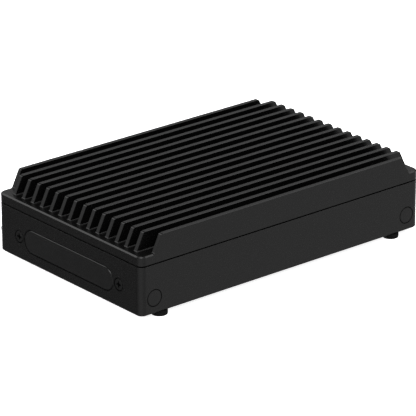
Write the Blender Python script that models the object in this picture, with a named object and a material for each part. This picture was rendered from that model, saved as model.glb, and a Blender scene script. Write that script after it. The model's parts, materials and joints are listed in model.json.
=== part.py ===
"""Fanless mini PC: a finned aluminium lid on a shallow base housing, with the board,
memory, storage, sockets and fixings that it holds.

Metres, +Z up, standing on its feet at z = 0. X runs along the case, +Y is the
connector side and -Y the plain long side. Both short ends carry a blanking plate.
"""
import math

import bmesh
import bpy

MM = 0.001

# Case
LENGTH = 177.0 * MM
WIDTH = 110.0 * MM
BASE_HEIGHT = 24.8 * MM          # underside to the seam
LID_EDGE = 5.4 * MM              # seam to the deck that the fins stand on
FIN_HEIGHT = 9.0 * MM
FOOT_HEIGHT = 3.0 * MM
CORNER_RADIUS = 3.5 * MM
INNER_CORNER_RADIUS = 0.5 * MM
WALL = 3.0 * MM
FLOOR = 3.0 * MM
EDGE_CHAMFER = 0.6 * MM
SEAM_CHAMFER = 0.3 * MM
GAP = 0.3 * MM                   # clearance between neighbouring pieces
HOLE_SIDES = 16                  # facets of a hole that a screw or a spigot fills

# Fins
FIN_COUNT = 16
FIN_THICKNESS = 2.2 * MM
FIN_FOOT_SETBACK = 2.9 * MM      # case end to the foot of an inner fin
OUTER_FIN_FOOT_SETBACK = 7.8 * MM
FIN_SHIFT = 0.6 * MM             # all fins stand this far to the right of centre
FIN_END_SLOPE = 4.4 * MM         # how far a fin's top starts behind its foot
FIN_CORNER_RADIUS = 0.8 * MM
FIN_CHAMFER = 0.4 * MM

# Feet, lid screws and the posts that take them
FOOT_END_INSET = 14.7 * MM
FOOT_SIDE_INSET = 4.3 * MM
FOOT_RADIUS = 4.0 * MM
FOOT_SPIGOT_RADIUS = 1.4 * MM
FOOT_SPIGOT = 1.8 * MM
FOOT_ROUNDING = 0.25 * MM
POST_END_INSET = 22.0 * MM
POST_WIDTH = 8.0 * MM
POST_DEPTH = 9.0 * MM            # from the wall's inner face
LID_SCREW_RADIUS = 1.5 * MM
LID_SCREW_HEAD_RADIUS = 2.75 * MM
LID_SCREW_HEAD = 2.0 * MM
LID_SCREW_SINK = 3.0 * MM        # counterbore depth from the underside
LID_THREAD = 3.6 * MM            # screw length inside the lid

# End blanking plates
PLATE_LENGTH = 68.2 * MM
PLATE_HEIGHT = 11.7 * MM
PLATE_RISE = 11.7 * MM           # plate centre above the underside
PLATE_FLANGE = 2.5 * MM
PLATE_FLANGE_MARGIN = 4.6 * MM   # flange beyond the screw centres
PLATE_SCREW_SPACING = 77.0 * MM
PLATE_SCREW_RADIUS = 1.5 * MM
PLATE_SCREW_HEAD_RADIUS = 2.75 * MM
PLATE_SCREW_SINK = 0.3 * MM
PLATE_SCREW_HEAD = 1.6 * MM
PLATE_FLANGE_LIP = 1.5 * MM      # flange beyond the panel, above and below

# Plugs in the plain long side
PLUG_RADIUS = 4.0 * MM
PLUG_HEAD = 1.4 * MM
PLUG_SHANK_RADIUS = 2.6 * MM
PLUG_END_INSET = 8.3 * MM
PLUG_RISE = 8.0 * MM
PLUG_BARB = 0.8 * MM             # how far the barb stands out of the shank
PLUG_BARB_LENGTH = 1.2 * MM

# Service cover in the floor
COVER_THICKNESS = 1.5 * MM
COVER_LEDGE = 3.6 * MM
COVER_WIDTH = 60.0 * MM
COVER_OFFSET = -6.0 * MM         # cover centre from the case centre, along Y
COVER_SCREW_RADIUS = 1.0 * MM
COVER_SCREW_HEAD_RADIUS = 1.9 * MM
COVER_SCREW_INSET = 2.8 * MM
COVER_SCREW_HEAD = 0.9 * MM
COVER_CORNER = 5.0 * MM

# Board
BOARD_RISE = 6.5 * MM            # board underside above the case underside
BOARD_THICKNESS = 1.6 * MM
BOARD_END_SPACE = 12.5 * MM
BOARD_FRONT_SPACE = 2.0 * MM
BOARD_BACK_SPACE = 0.6 * MM
STANDOFF_RADIUS = 3.0 * MM
STANDOFF_END_INSET = 16.0 * MM   # from the board's ends
STANDOFF_SIDE_INSET = 17.0 * MM  # from the board's front edge
BOARD_SCREW_RADIUS = 1.25 * MM
BOARD_SCREW_HEAD_RADIUS = 2.3 * MM
BOARD_SCREW_HEAD = 1.4 * MM

# Processor and its heat path
CPU_SIZE = (28.0 * MM, 25.0 * MM)
CPU_HEIGHT = 1.4 * MM
CPU_PAD_INSET = 2.0 * MM
PAD_THICKNESS = 0.5 * MM
SPREADER_LENGTH = 60.0 * MM
SPREADER_CLEARANCE = 3.0 * MM    # to the memory socket and to the connector row

# Memory
MEMORY_SIZE = (67.6 * MM, 30.0 * MM)
MEMORY_THICKNESS = 1.2 * MM
MEMORY_RISE = 2.6 * MM
MEMORY_FRONT_SPACE = 3.5 * MM    # wall's inner face to the module's free edge
LATCH_THICKNESS = 1.1 * MM
LATCH_LENGTH = 21.0 * MM
LATCH_HOOK = 0.9 * MM
LATCH_HOOK_LENGTH = 3.0 * MM
LATCH_FLARE = 2.0 * MM
MEMORY_CHIP = (10.0 * MM, 13.0 * MM)
MEMORY_CHIPS = 4
MEMORY_CHIP_FRONT = 6.0 * MM     # module's free edge to its chips

# Storage below the board, radio above it
SSD_SIZE = (80.0 * MM, 22.0 * MM)
SSD_CENTRE_Y = -9.0 * MM
SSD_CENTRE_X = -3.0 * MM
RADIO_SIZE = (22.0 * MM, 30.0 * MM)
RADIO_END_INSET = 22.0 * MM      # board end to the radio's centre
RADIO_CENTRE_Y = 0.0 * MM
MODULE_THICKNESS = 0.8 * MM
MODULE_STEP = 1.0 * MM           # between the board and a storage or radio module
CHIP_HEIGHT = 0.8 * MM
CHIP_MARGIN = 3.0 * MM           # from a chip or shield to the module's long edges
SSD_CHIP_STARTS = (8.0 * MM, 28.0 * MM, 50.0 * MM)
SSD_CHIP_LENGTH = 16.0 * MM
RADIO_SHIELD_FRONT = 7.0 * MM    # module's free edge to its shield
RADIO_SHIELD_BACK = 2.0 * MM     # shield to the socket
SOCKET_DEPTH = 6.5 * MM
SOCKET_SEAT = 4.0 * MM           # how deep a module sits in its socket
SOCKET_MARGIN = 2.7 * MM         # socket beyond a module's edge, each side
LOW_SOCKET_HEIGHT = 2.8 * MM
MEMORY_SOCKET_HEIGHT = 5.2 * MM

# Coin cell
CELL_RADIUS = 10.0 * MM
CELL_THICKNESS = 3.2 * MM
CELL_END_INSET = 17.0 * MM       # board end to the cell's centre
CELL_CENTRE_Y = -2.0 * MM
CELL_STEP = (0.6 * MM, 1.0 * MM)  # the narrower can below the rim: inset and height
HOLDER_WALL = 0.9 * MM

# Connector row, from -X to +X: name, width, height and depth
CONNECTOR_RECESS = 0.4 * MM      # faces sit this far inside the case's back face
BUTTON_RADIUS = 4.0 * MM
BUTTON_RISE = 14.0 * MM          # button and light centre above the underside
BUTTON_PROUD = 0.4 * MM
BUTTON_TRAVEL = 1.0 * MM
BUTTON_FLANGE = 1.0 * MM         # its thickness, and how far it stands out of the button
BUTTON_ROUNDING = 0.4 * MM
BUTTON_STEM = 2.0 * MM
BUTTON_STEM_RADIUS = 1.5 * MM
SWITCH_SIZE = (6.0 * MM, 5.0 * MM)
SWITCH_ABOVE_STEM = 3.0 * MM
LIGHT_RADIUS = 1.5 * MM
LIGHT_LEG = 3.5 * MM             # depth of the leg that stands on the board
LIGHT_STEP = 1.0 * MM            # wall's inner face to the leg
LIGHT_LEG_ABOVE = 2.0 * MM
ROW_MARGIN = 2.0 * MM            # added to the button's width in the row
POWER_SIZE = (9.0 * MM, 11.0 * MM, 14.0 * MM)
VIDEO_SIZE = (15.0 * MM, 6.2 * MM, 11.5 * MM)
USB_SIZE = (14.5 * MM, 15.2 * MM, 17.5 * MM)
LAN_SIZE = (16.0 * MM, 13.5 * MM, 21.3 * MM)
POWER_BORE_RADIUS = 3.2 * MM
POWER_BORE_DEPTH = 10.0 * MM
POWER_PIN_RADIUS = 1.05 * MM
USB_OPENING = (13.0 * MM, 5.4 * MM)
USB_DEPTH = 13.0 * MM
USB_LEVELS = (3.9 * MM, 11.3 * MM)
USB_TONGUE = (11.0 * MM, 1.8 * MM)
USB_TONGUE_RISE = 0.9 * MM
VIDEO_DEPTH = 8.0 * MM
VIDEO_TONGUE = (10.4 * MM, 1.3 * MM)
VIDEO_TONGUE_RISE = 0.5 * MM
TONGUE_SETBACK = 1.2 * MM        # tongue's tip behind the socket's face
LAN_DEPTH = 14.0 * MM

# Antenna connectors
ANTENNA_END_INSET = 9.3 * MM
ANTENNA_RISE = 7.0 * MM
ANTENNA_RADIUS = 3.1 * MM
ANTENNA_REACH = 7.0 * MM         # how far the barrel stands out of the case
ANTENNA_FLANGE_RADIUS = 3.8 * MM
ANTENNA_TAIL = 5.0 * MM
ANTENNA_NUT = 2.2 * MM
ANTENNA_NUT_FLATS = 8.0 * MM
ANTENNA_FLANGE = 2.0 * MM
ANTENNA_BODY_RADIUS = 2.0 * MM
ANTENNA_BORE_RADIUS = 2.2 * MM
ANTENNA_BORE_DEPTH = 4.0 * MM
ANTENNA_PIN_RADIUS = 0.6 * MM
ANTENNA_PIN_SETBACK = 1.5 * MM
ANTENNA_ROUNDING = 0.4 * MM
CABLE_RADIUS = 0.6 * MM
CABLE_POINT_SPACING = 5.0 * MM

# Places worked out from the sizes above
CENTRE_Y = -ANTENNA_REACH / 2
FRONT = CENTRE_Y - WIDTH / 2
BACK = CENTRE_Y + WIDTH / 2
END = LENGTH / 2
UNDERSIDE = FOOT_HEIGHT
FLOOR_TOP = UNDERSIDE + FLOOR
SEAM = UNDERSIDE + BASE_HEIGHT
LID_BOTTOM = SEAM + GAP
DECK = SEAM + LID_EDGE
FIN_TOP = DECK + FIN_HEIGHT
BOARD_BOTTOM = UNDERSIDE + BOARD_RISE
BOARD_TOP = BOARD_BOTTOM + BOARD_THICKNESS
BOARD_END = END - WALL - BOARD_END_SPACE
BOARD_FRONT = FRONT + WALL + BOARD_FRONT_SPACE
BOARD_BACK = BACK - WALL - BOARD_BACK_SPACE
PART_TOP = BOARD_TOP + GAP       # where the pieces on the board stand
POST_X = END - POST_END_INSET
PLATE_Z = UNDERSIDE + PLATE_RISE
BUTTON_Z = UNDERSIDE + BUTTON_RISE
ANTENNA_Z = UNDERSIDE + ANTENNA_RISE
ANTENNA_X = END - ANTENNA_END_INSET
STANDOFF_X = BOARD_END - STANDOFF_END_INSET
STANDOFF_Y = (BOARD_FRONT + STANDOFF_SIDE_INSET, BOARD_BACK - STANDOFF_SIDE_INSET)
COVER_END = STANDOFF_X - STANDOFF_RADIUS - COVER_LEDGE
COVER_Y = CENTRE_Y + COVER_OFFSET

LOOKS = {
    "powder_black": ((0.017, 0.017, 0.018), 0.5, 0.0),
    "plate_black": ((0.022, 0.022, 0.023), 0.42, 0.0),
    "screw_black": ((0.02, 0.02, 0.021), 0.35, 0.9),
    "screw_steel": ((0.55, 0.55, 0.56), 0.35, 1.0),
    "rubber_black": ((0.015, 0.015, 0.015), 0.8, 0.0),
    "board_green": ((0.01, 0.09, 0.045), 0.45, 0.0),
    "plastic_black": ((0.02, 0.02, 0.02), 0.5, 0.0),
    "plastic_clear": ((0.75, 0.82, 0.85), 0.2, 0.0),
    "chip_grey": ((0.09, 0.09, 0.1), 0.4, 0.0),
    "aluminium": ((0.75, 0.76, 0.77), 0.35, 1.0),
    "nickel": ((0.68, 0.67, 0.64), 0.28, 1.0),
    "pad_grey": ((0.35, 0.37, 0.42), 0.8, 0.0),
    "cable_black": ((0.02, 0.02, 0.022), 0.55, 0.0),
}


def look(name):
    """The named material, made the first time it is asked for."""
    found = bpy.data.materials.get(name)
    if found:
        return found
    colour, roughness, metallic = LOOKS[name]
    made = bpy.data.materials.new(name)
    made.use_nodes = True
    shader = made.node_tree.nodes["Principled BSDF"]
    shader.inputs["Base Color"].default_value = (*colour, 1.0)
    shader.inputs["Roughness"].default_value = roughness
    shader.inputs["Metallic"].default_value = metallic
    made.diffuse_color = (*colour, 1.0)
    return made


def spot(across, along, axis):
    """A point from its two places across an axis and its place along it."""
    if axis == "X":
        return (along, across[0], across[1])
    if axis == "Y":
        return (across[0], along, across[1])
    return (across[0], across[1], along)


def rectangle(low, high, radius=0.0, steps=5):
    """Outline of a rectangle, its corners rounded to a radius."""
    if radius <= 0.0:
        return [low, (high[0], low[1]), high, (low[0], high[1])]
    centres = (
        (high[0] - radius, high[1] - radius),
        (low[0] + radius, high[1] - radius),
        (low[0] + radius, low[1] + radius),
        (high[0] - radius, low[1] + radius),
    )
    points = []
    for corner, (x, y) in enumerate(centres):
        for step in range(steps + 1):
            angle = math.pi / 2 * (corner + step / steps)
            point = (x + radius * math.cos(angle), y + radius * math.sin(angle))
            if not points or math.dist(point, points[-1]) > 1e-7:
                points.append(point)
    if math.dist(points[0], points[-1]) < 1e-7:
        points.pop()
    return points


def stadium(centre, length, height, steps=8):
    """Outline of a slot with round ends."""
    low = (centre[0] - length / 2, centre[1] - height / 2)
    high = (centre[0] + length / 2, centre[1] + height / 2)
    return rectangle(low, high, height / 2, steps)


def circle(centre, radius, sides=24):
    """Outline of a circle, or of a polygon when it has few sides."""
    points = []
    for index in range(sides):
        angle = 2 * math.pi * index / sides
        points.append((centre[0] + radius * math.cos(angle), centre[1] + radius * math.sin(angle)))
    return points


def cross(centre, arm, half_width):
    """Outline of a cross recess, in 24 points that match a 24-sided circle."""
    middle = (arm + half_width) / 2
    quarter = [(arm, 0.0), (arm, half_width), (middle, half_width), (half_width, half_width),
               (half_width, middle), (half_width, arm)]
    points = []
    for turn in range(4):
        for x, y in quarter:
            for _ in range(turn):
                x, y = -y, x
            points.append((centre[0] + x, centre[1] + y))
    return points


def loft(levels, axis="Z"):
    """Closed solid through matching outlines, each given with its place along the axis."""
    solid = bmesh.new()
    rings = []
    for outline, along in levels:
        rings.append([solid.verts.new(spot(point, along, axis)) for point in outline])
    for lower, upper in zip(rings, rings[1:]):
        for index, corner in enumerate(lower):
            after = (index + 1) % len(lower)
            solid.faces.new((corner, lower[after], upper[after], upper[index]))
    solid.faces.new(rings[0])
    solid.faces.new(rings[-1])
    bmesh.ops.recalc_face_normals(solid, faces=solid.faces)
    return solid


def turned(profile, centre, axis="Z", sides=24):
    """Turned solid; the profile holds (radius, place along the axis) off the axis."""
    return loft([(circle(centre, radius, sides), along) for radius, along in profile], axis)


def box(low, high):
    """Rectangular block between two corners."""
    return loft([(rectangle(low[:2], high[:2]), low[2]), (rectangle(low[:2], high[:2]), high[2])])


def joined(solids):
    """Several solids in one mesh, for a boolean operand."""
    whole = bmesh.new()
    for solid in solids:
        spare = bpy.data.meshes.new("spare")
        solid.to_mesh(spare)
        solid.free()
        whole.from_mesh(spare)
        bpy.data.meshes.remove(spare)
    return whole


def piece(name, solid, finish, origin=(0.0, 0.0, 0.0)):
    """Object made of a solid, with its origin at the given point."""
    bmesh.ops.translate(solid, verts=solid.verts, vec=[-value for value in origin])
    mesh = bpy.data.meshes.new(name)
    solid.to_mesh(mesh)
    solid.free()
    mesh.materials.append(look(finish))
    mesh.shade_smooth()
    mesh.set_sharp_from_angle(angle=math.radians(35))
    made = bpy.data.objects.new(name, mesh)
    made.location = origin
    bpy.context.scene.collection.objects.link(made)
    return made


def combine(target, solids, operation="DIFFERENCE"):
    """Cuts solids out of an object, or adds them to it."""
    operand = piece(f"{target.name}.{operation.lower()}", joined(solids), "plastic_black")
    operand.hide_render = True
    operand.display_type = "WIRE"
    modifier = target.modifiers.new(operation.title(), "BOOLEAN")
    modifier.operation = operation
    modifier.solver = "EXACT"
    modifier.object = operand


def both(value):
    """A distance and its mirror image."""
    return (-value, value)


def corners(x, ys):
    """Four places from one distance along X and two places along Y."""
    return [(side, y) for side in both(x) for y in ys]


def numbered(name, places):
    """Names counted from 1, with their places."""
    return [(f"{name}_{count}", place) for count, place in enumerate(places, 1)]


FEET = corners(END - FOOT_END_INSET, (FRONT + FOOT_SIDE_INSET, BACK - FOOT_SIDE_INSET))
POST_INSET = WALL + POST_DEPTH / 2
POSTS = corners(POST_X, (FRONT + POST_INSET, BACK - POST_INSET))
STANDOFFS = corners(STANDOFF_X, STANDOFF_Y)
COVER_SCREWS = corners(COVER_END - COVER_SCREW_INSET,
                       (COVER_Y - COVER_WIDTH / 2 + COVER_SCREW_INSET,
                        COVER_Y + COVER_WIDTH / 2 - COVER_SCREW_INSET))


def connector_row():
    """Centre along X of each piece in the connector row, evenly spaced between the posts."""
    row = [("power_button", 2 * BUTTON_RADIUS + ROW_MARGIN), ("status_light", 2 * LIGHT_RADIUS + LIGHT_STEP),
           ("dc_jack", POWER_SIZE[0]), ("video_port", VIDEO_SIZE[0]), ("usb_stack_1", USB_SIZE[0]),
           ("lan_jack", LAN_SIZE[0]), ("usb_stack_2", USB_SIZE[0])]
    room = 2 * (POST_X - POST_WIDTH / 2)
    space = (room - sum(width for _, width in row)) / (len(row) + 1)
    centres = {}
    edge = -room / 2
    for name, width in row:
        centres[name] = edge + space + width / 2
        edge += space + width
    return centres


ROW = connector_row()


def case_outline(inset=0.0, radius=CORNER_RADIUS):
    """Plan outline of the case, drawn in by an inset."""
    low = (-END + inset, FRONT + inset)
    high = (END - inset, BACK - inset)
    return rectangle(low, high, radius - inset)


def screw(name, centre, axis, face, inward, radii, head, length, finish, countersunk=True):
    """Cross-head screw: its head's face is at `face` and it runs `inward` along the axis."""
    head_radius, shank_radius = radii
    arm = head_radius * 0.55
    half_width = head_radius * 0.14
    depth = head * 0.6
    edge = 0.25 * MM if countersunk else head
    levels = [
        (cross(centre, arm * 0.7, half_width), face + inward * depth),
        (cross(centre, arm, half_width), face),
        (circle(centre, head_radius), face),
        (circle(centre, head_radius), face + inward * edge),
        (circle(centre, shank_radius), face + inward * head),
        (circle(centre, shank_radius), face + inward * length),
    ]
    return piece(name, loft(levels, axis), finish)


def heatsink_lid():
    """Deck with sixteen fins, threaded from below for the lid screws."""
    deck = loft([(case_outline(SEAM_CHAMFER), LID_BOTTOM), (case_outline(), LID_BOTTOM + SEAM_CHAMFER),
                 (case_outline(), DECK - EDGE_CHAMFER), (case_outline(EDGE_CHAMFER), DECK)])
    lid = piece("heatsink_lid", deck, "powder_black")
    fins = []
    pitch = (WIDTH - FIN_THICKNESS) / (FIN_COUNT - 1)
    for index in range(FIN_COUNT):
        outer = index in (0, FIN_COUNT - 1)
        setback = OUTER_FIN_FOOT_SETBACK if outer else FIN_FOOT_SETBACK
        low = FRONT + index * pitch
        fins.append(fin(low, low + FIN_THICKNESS, END - setback))
    combine(lid, fins, "UNION")
    holes = []
    for place in POSTS:
        depth = LID_BOTTOM + LID_THREAD + GAP
        profile = [(LID_SCREW_RADIUS + GAP, LID_BOTTOM - MM), (LID_SCREW_RADIUS + GAP, depth)]
        holes.append(turned(profile, place, sides=HOLE_SIDES))
    combine(lid, holes)


def fin_outline(half_length, inset):
    """Side outline of a fin, from below the deck to its rounded top corners."""
    slope = FIN_END_SLOPE / FIN_HEIGHT
    root = DECK - EDGE_CHAMFER
    foot = half_length + slope * EDGE_CHAMFER - inset
    top = half_length - FIN_END_SLOPE - inset
    height = FIN_TOP - inset
    radius = FIN_CORNER_RADIUS
    lean = math.atan2(FIN_HEIGHT, FIN_END_SLOPE)
    reach = radius * math.tan(lean / 2)
    corner = []
    for step in range(5):
        angle = math.pi / 2 - lean * step / 4
        corner.append((top - reach + radius * math.cos(angle), height - radius + radius * math.sin(angle)))
    right = corner + [(foot, root)]
    left = [(-x, z) for x, z in reversed(right)]
    return [(x + FIN_SHIFT, z) for x, z in right + left]


def fin(low, high, half_length):
    """One fin across Y from low to high, its edges chamfered."""
    plain = fin_outline(half_length, 0.0)
    drawn_in = fin_outline(half_length, FIN_CHAMFER)
    levels = [(drawn_in, low), (plain, low + FIN_CHAMFER), (plain, high - FIN_CHAMFER), (drawn_in, high)]
    return loft(levels, "Y")


def base_housing():
    """Open box with screw posts and board standoffs, cut for everything that it carries."""
    shell = loft([(case_outline(EDGE_CHAMFER), UNDERSIDE), (case_outline(), UNDERSIDE + EDGE_CHAMFER),
                  (case_outline(), SEAM - SEAM_CHAMFER), (case_outline(SEAM_CHAMFER), SEAM)])
    base = piece("base_housing", shell, "powder_black")
    inner = case_outline(WALL, WALL + INNER_CORNER_RADIUS)
    combine(base, [loft([(inner, FLOOR_TOP), (inner, SEAM + MM)])])
    combine(base, post_solids() + standoff_solids(), "UNION")
    combine(base, floor_cuts())
    combine(base, cover_screw_cuts())
    combine(base, wall_cuts())


def post_solids():
    """Posts that stand against the long walls and take the lid screws."""
    solids = []
    for x, y in POSTS:
        shift = math.copysign(WALL / 4, y - CENTRE_Y)
        size = (POST_WIDTH, POST_DEPTH + WALL / 2)
        solids.append(slab((x, y + shift), size, FLOOR_TOP - MM, SEAM - GAP))
    return solids


def standoff_solids():
    """Round standoffs below the board."""
    profile = [(STANDOFF_RADIUS, FLOOR_TOP - MM), (STANDOFF_RADIUS, BOARD_BOTTOM - GAP)]
    return [turned(profile, place, sides=HOLE_SIDES) for place in STANDOFFS]


def floor_cuts():
    """Cuts that enter the housing from below or from above."""
    cuts = []
    bore = LID_SCREW_RADIUS + GAP
    sink = LID_SCREW_HEAD_RADIUS + GAP
    shoulder = UNDERSIDE + LID_SCREW_SINK
    for place in POSTS:
        profile = [(sink, UNDERSIDE - MM), (sink, shoulder), (bore, shoulder), (bore, SEAM + MM)]
        cuts.append(turned(profile, place, sides=HOLE_SIDES))
    spigot = FOOT_SPIGOT_RADIUS + GAP
    for place in FEET:
        profile = [(spigot, UNDERSIDE - MM), (spigot, UNDERSIDE + FOOT_SPIGOT + GAP)]
        cuts.append(turned(profile, place, sides=HOLE_SIDES))
    thread = BOARD_SCREW_RADIUS + GAP
    for place in STANDOFFS:
        profile = [(thread, UNDERSIDE + FLOOR / 2), (thread, BOARD_BOTTOM + MM)]
        cuts.append(turned(profile, place, sides=HOLE_SIDES))
    ledge = UNDERSIDE + COVER_THICKNESS + GAP
    recess = cover_outline(GAP)
    opening = cover_outline(GAP - COVER_LEDGE)
    levels = [(recess, UNDERSIDE - MM), (recess, ledge), (opening, ledge), (opening, FLOOR_TOP + MM)]
    cuts.append(loft(levels))
    return cuts


def cover_screw_cuts():
    """Tapped holes in the ledge that the service cover rests on."""
    tapped = COVER_SCREW_RADIUS + GAP
    profile = [(tapped, UNDERSIDE), (tapped, FLOOR_TOP + MM)]
    return [turned(profile, place, sides=HOLE_SIDES) for place in COVER_SCREWS]


def cover_outline(margin):
    """Plan outline of the service cover, grown by a margin."""
    low = (-COVER_END - margin, COVER_Y - COVER_WIDTH / 2 - margin)
    high = (COVER_END + margin, COVER_Y + COVER_WIDTH / 2 + margin)
    return rectangle(low, high, COVER_CORNER, 4)


def wall_cuts():
    """Cuts through the four walls."""
    cuts = []
    for side in (-1, 1):
        outside = side * (END + MM)
        inside = side * (END - WALL - MM)
        window = stadium((CENTRE_Y, PLATE_Z), PLATE_LENGTH + 2 * GAP, PLATE_HEIGHT + 2 * GAP)
        cuts.append(loft([(window, outside), (window, inside)], "X"))
        for y in both(PLATE_SCREW_SPACING / 2):
            cuts.append(turned(plate_screw_hole(side), (CENTRE_Y + y, PLATE_Z), "X"))
        plug = (side * (END - PLUG_END_INSET), UNDERSIDE + PLUG_RISE)
        face = FRONT + PLUG_HEAD + GAP
        cuts.append(turned([(PLUG_RADIUS + GAP, FRONT - MM), (PLUG_RADIUS + GAP, face),
                            (PLUG_SHANK_RADIUS + GAP, face), (PLUG_SHANK_RADIUS + GAP, FRONT + WALL + MM)],
                           plug, "Y"))
        cuts.append(back_hole((side * ANTENNA_X, ANTENNA_Z), ANTENNA_RADIUS + GAP))
    cuts.append(back_hole((ROW["power_button"], BUTTON_Z), BUTTON_RADIUS + GAP))
    cuts.append(back_hole((ROW["status_light"], BUTTON_Z), LIGHT_RADIUS + GAP))
    for name, size in CONNECTORS.items():
        half = size[0] / 2 + GAP
        cuts.append(box((ROW[name] - half, BACK - WALL - MM, BOARD_TOP),
                        (ROW[name] + half, BACK + MM, PART_TOP + size[1] + GAP)))
    return cuts


def back_hole(centre, radius):
    """Round cut through the back wall."""
    return turned([(radius, BACK - WALL - MM), (radius, BACK + MM)], centre, "Y")


def plate_screw_hole(side):
    """Profile of a countersunk hole in an end wall."""
    head = PLATE_SCREW_HEAD_RADIUS + GAP
    bore = PLATE_SCREW_RADIUS + GAP
    seat = PLATE_SCREW_SINK + 2 * GAP
    depths = ((head, -MM), (head, seat), (bore, seat + head - bore), (bore, WALL + MM))
    return [(radius, side * (END - depth)) for radius, depth in depths]


def end_plate(name, side):
    """Blanking plate that fills an end window from inside, with a flange for its screws."""
    centre = (CENTRE_Y, PLATE_Z)
    panel = stadium(centre, PLATE_LENGTH, PLATE_HEIGHT)
    rim = stadium(centre, PLATE_LENGTH - 2 * SEAM_CHAMFER, PLATE_HEIGHT - 2 * SEAM_CHAMFER)
    flange_length = PLATE_SCREW_SPACING + 2 * PLATE_FLANGE_MARGIN
    flange = stadium(centre, flange_length, PLATE_HEIGHT + 2 * PLATE_FLANGE_LIP)
    seat = WALL + GAP
    depths = ((rim, 0.0), (panel, SEAM_CHAMFER), (panel, seat), (flange, seat), (flange, seat + PLATE_FLANGE))
    levels = [(outline, side * (END - depth)) for outline, depth in depths]
    plate = piece(name, loft(levels, "X"), "plate_black")
    tapped = PLATE_SCREW_RADIUS + GAP
    holes = []
    for y in both(PLATE_SCREW_SPACING / 2):
        profile = [(tapped, side * (END - seat + MM)), (tapped, side * (END - seat - PLATE_FLANGE - MM))]
        holes.append(turned(profile, (CENTRE_Y + y, PLATE_Z), "X", HOLE_SIDES))
    combine(plate, holes)


def end_plates():
    """Both blanking plates and their screws."""
    count = 0
    for name, side in (("end_plate_left", -1), ("end_plate_right", 1)):
        end_plate(name, side)
        for y in both(PLATE_SCREW_SPACING / 2):
            count += 1
            face = side * (END - PLATE_SCREW_SINK)
            radii = (PLATE_SCREW_HEAD_RADIUS, PLATE_SCREW_RADIUS)
            screw(f"end_plate_screw_{count}", (CENTRE_Y + y, PLATE_Z), "X", face, -side, radii,
                  PLATE_SCREW_HEAD, WALL + PLATE_FLANGE, "screw_black")


def side_plugs():
    """Flush plugs in the plain long side, barbed behind the wall."""
    barb = PLUG_SHANK_RADIUS + PLUG_BARB
    back = FRONT + WALL + GAP
    profile = [(PLUG_RADIUS - GAP, FRONT), (PLUG_RADIUS, FRONT + GAP), (PLUG_RADIUS, FRONT + PLUG_HEAD),
               (PLUG_SHANK_RADIUS, FRONT + PLUG_HEAD), (PLUG_SHANK_RADIUS, back), (barb, back),
               (PLUG_SHANK_RADIUS, back + PLUG_BARB_LENGTH)]
    for name, side in (("side_plug_left", -1), ("side_plug_right", 1)):
        centre = (side * (END - PLUG_END_INSET), UNDERSIDE + PLUG_RISE)
        piece(name, turned(profile, centre, "Y", 32), "plate_black")


def feet_and_lid_screws():
    """Rubber feet pressed into the floor, and the screws that hold the lid."""
    top = UNDERSIDE - GAP
    profile = [(FOOT_RADIUS - FOOT_ROUNDING, 0.0), (FOOT_RADIUS, FOOT_ROUNDING), (FOOT_RADIUS, top),
               (FOOT_SPIGOT_RADIUS, top), (FOOT_SPIGOT_RADIUS, UNDERSIDE + FOOT_SPIGOT)]
    for name, place in numbered("rubber_foot", FEET):
        piece(name, turned(profile, place), "rubber_black")
    face = UNDERSIDE + LID_SCREW_SINK - LID_SCREW_HEAD - GAP
    for name, place in numbered("lid_screw", POSTS):
        screw(name, place, "Z", face, 1, (LID_SCREW_HEAD_RADIUS, LID_SCREW_RADIUS), LID_SCREW_HEAD,
              LID_BOTTOM + LID_THREAD - face, "screw_black", countersunk=False)


def service_cover():
    """Cover plate in the floor and its four countersunk screws."""
    top = UNDERSIDE + COVER_THICKNESS
    outline = cover_outline(0.0)
    cover = piece("service_cover", loft([(outline, UNDERSIDE), (outline, top)]), "plate_black")
    head = COVER_SCREW_HEAD_RADIUS + GAP / 2
    bore = COVER_SCREW_RADIUS + GAP / 2
    seat = UNDERSIDE + GAP
    profile = [(head, UNDERSIDE - MM), (head, seat), (bore, seat + head - bore), (bore, top + MM)]
    combine(cover, [turned(profile, place, sides=HOLE_SIDES) for place in COVER_SCREWS])
    radii = (COVER_SCREW_HEAD_RADIUS, COVER_SCREW_RADIUS)
    for name, place in numbered("service_cover_screw", COVER_SCREWS):
        screw(name, place, "Z", UNDERSIDE + GAP / 3, 1, radii, COVER_SCREW_HEAD, FLOOR - GAP, "screw_black")


def mainboard():
    """Circuit board with its corners notched round the posts, and its screws."""
    step_x = POST_X - POST_WIDTH / 2 - GAP
    front_step = FRONT + WALL + POST_DEPTH + GAP
    back_step = BACK - WALL - POST_DEPTH - GAP
    outline = [(-step_x, BOARD_FRONT), (step_x, BOARD_FRONT), (step_x, front_step), (BOARD_END, front_step),
               (BOARD_END, back_step), (step_x, back_step), (step_x, BOARD_BACK), (-step_x, BOARD_BACK),
               (-step_x, back_step), (-BOARD_END, back_step), (-BOARD_END, front_step), (-step_x, front_step)]
    board = piece("mainboard", loft([(outline, BOARD_BOTTOM), (outline, BOARD_TOP)]), "board_green")
    holes = []
    bore = BOARD_SCREW_RADIUS + GAP
    for place in STANDOFFS + [ssd_screw_place()]:
        holes.append(turned([(bore, BOARD_BOTTOM - MM), (bore, BOARD_TOP + MM)], place, sides=HOLE_SIDES))
    combine(board, holes)
    face = PART_TOP + BOARD_SCREW_HEAD
    for name, place in numbered("board_screw", STANDOFFS):
        screw(name, place, "Z", face, -1, (BOARD_SCREW_HEAD_RADIUS, BOARD_SCREW_RADIUS), BOARD_SCREW_HEAD,
              face - UNDERSIDE - FLOOR / 2 - GAP, "screw_steel", countersunk=False)


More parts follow.
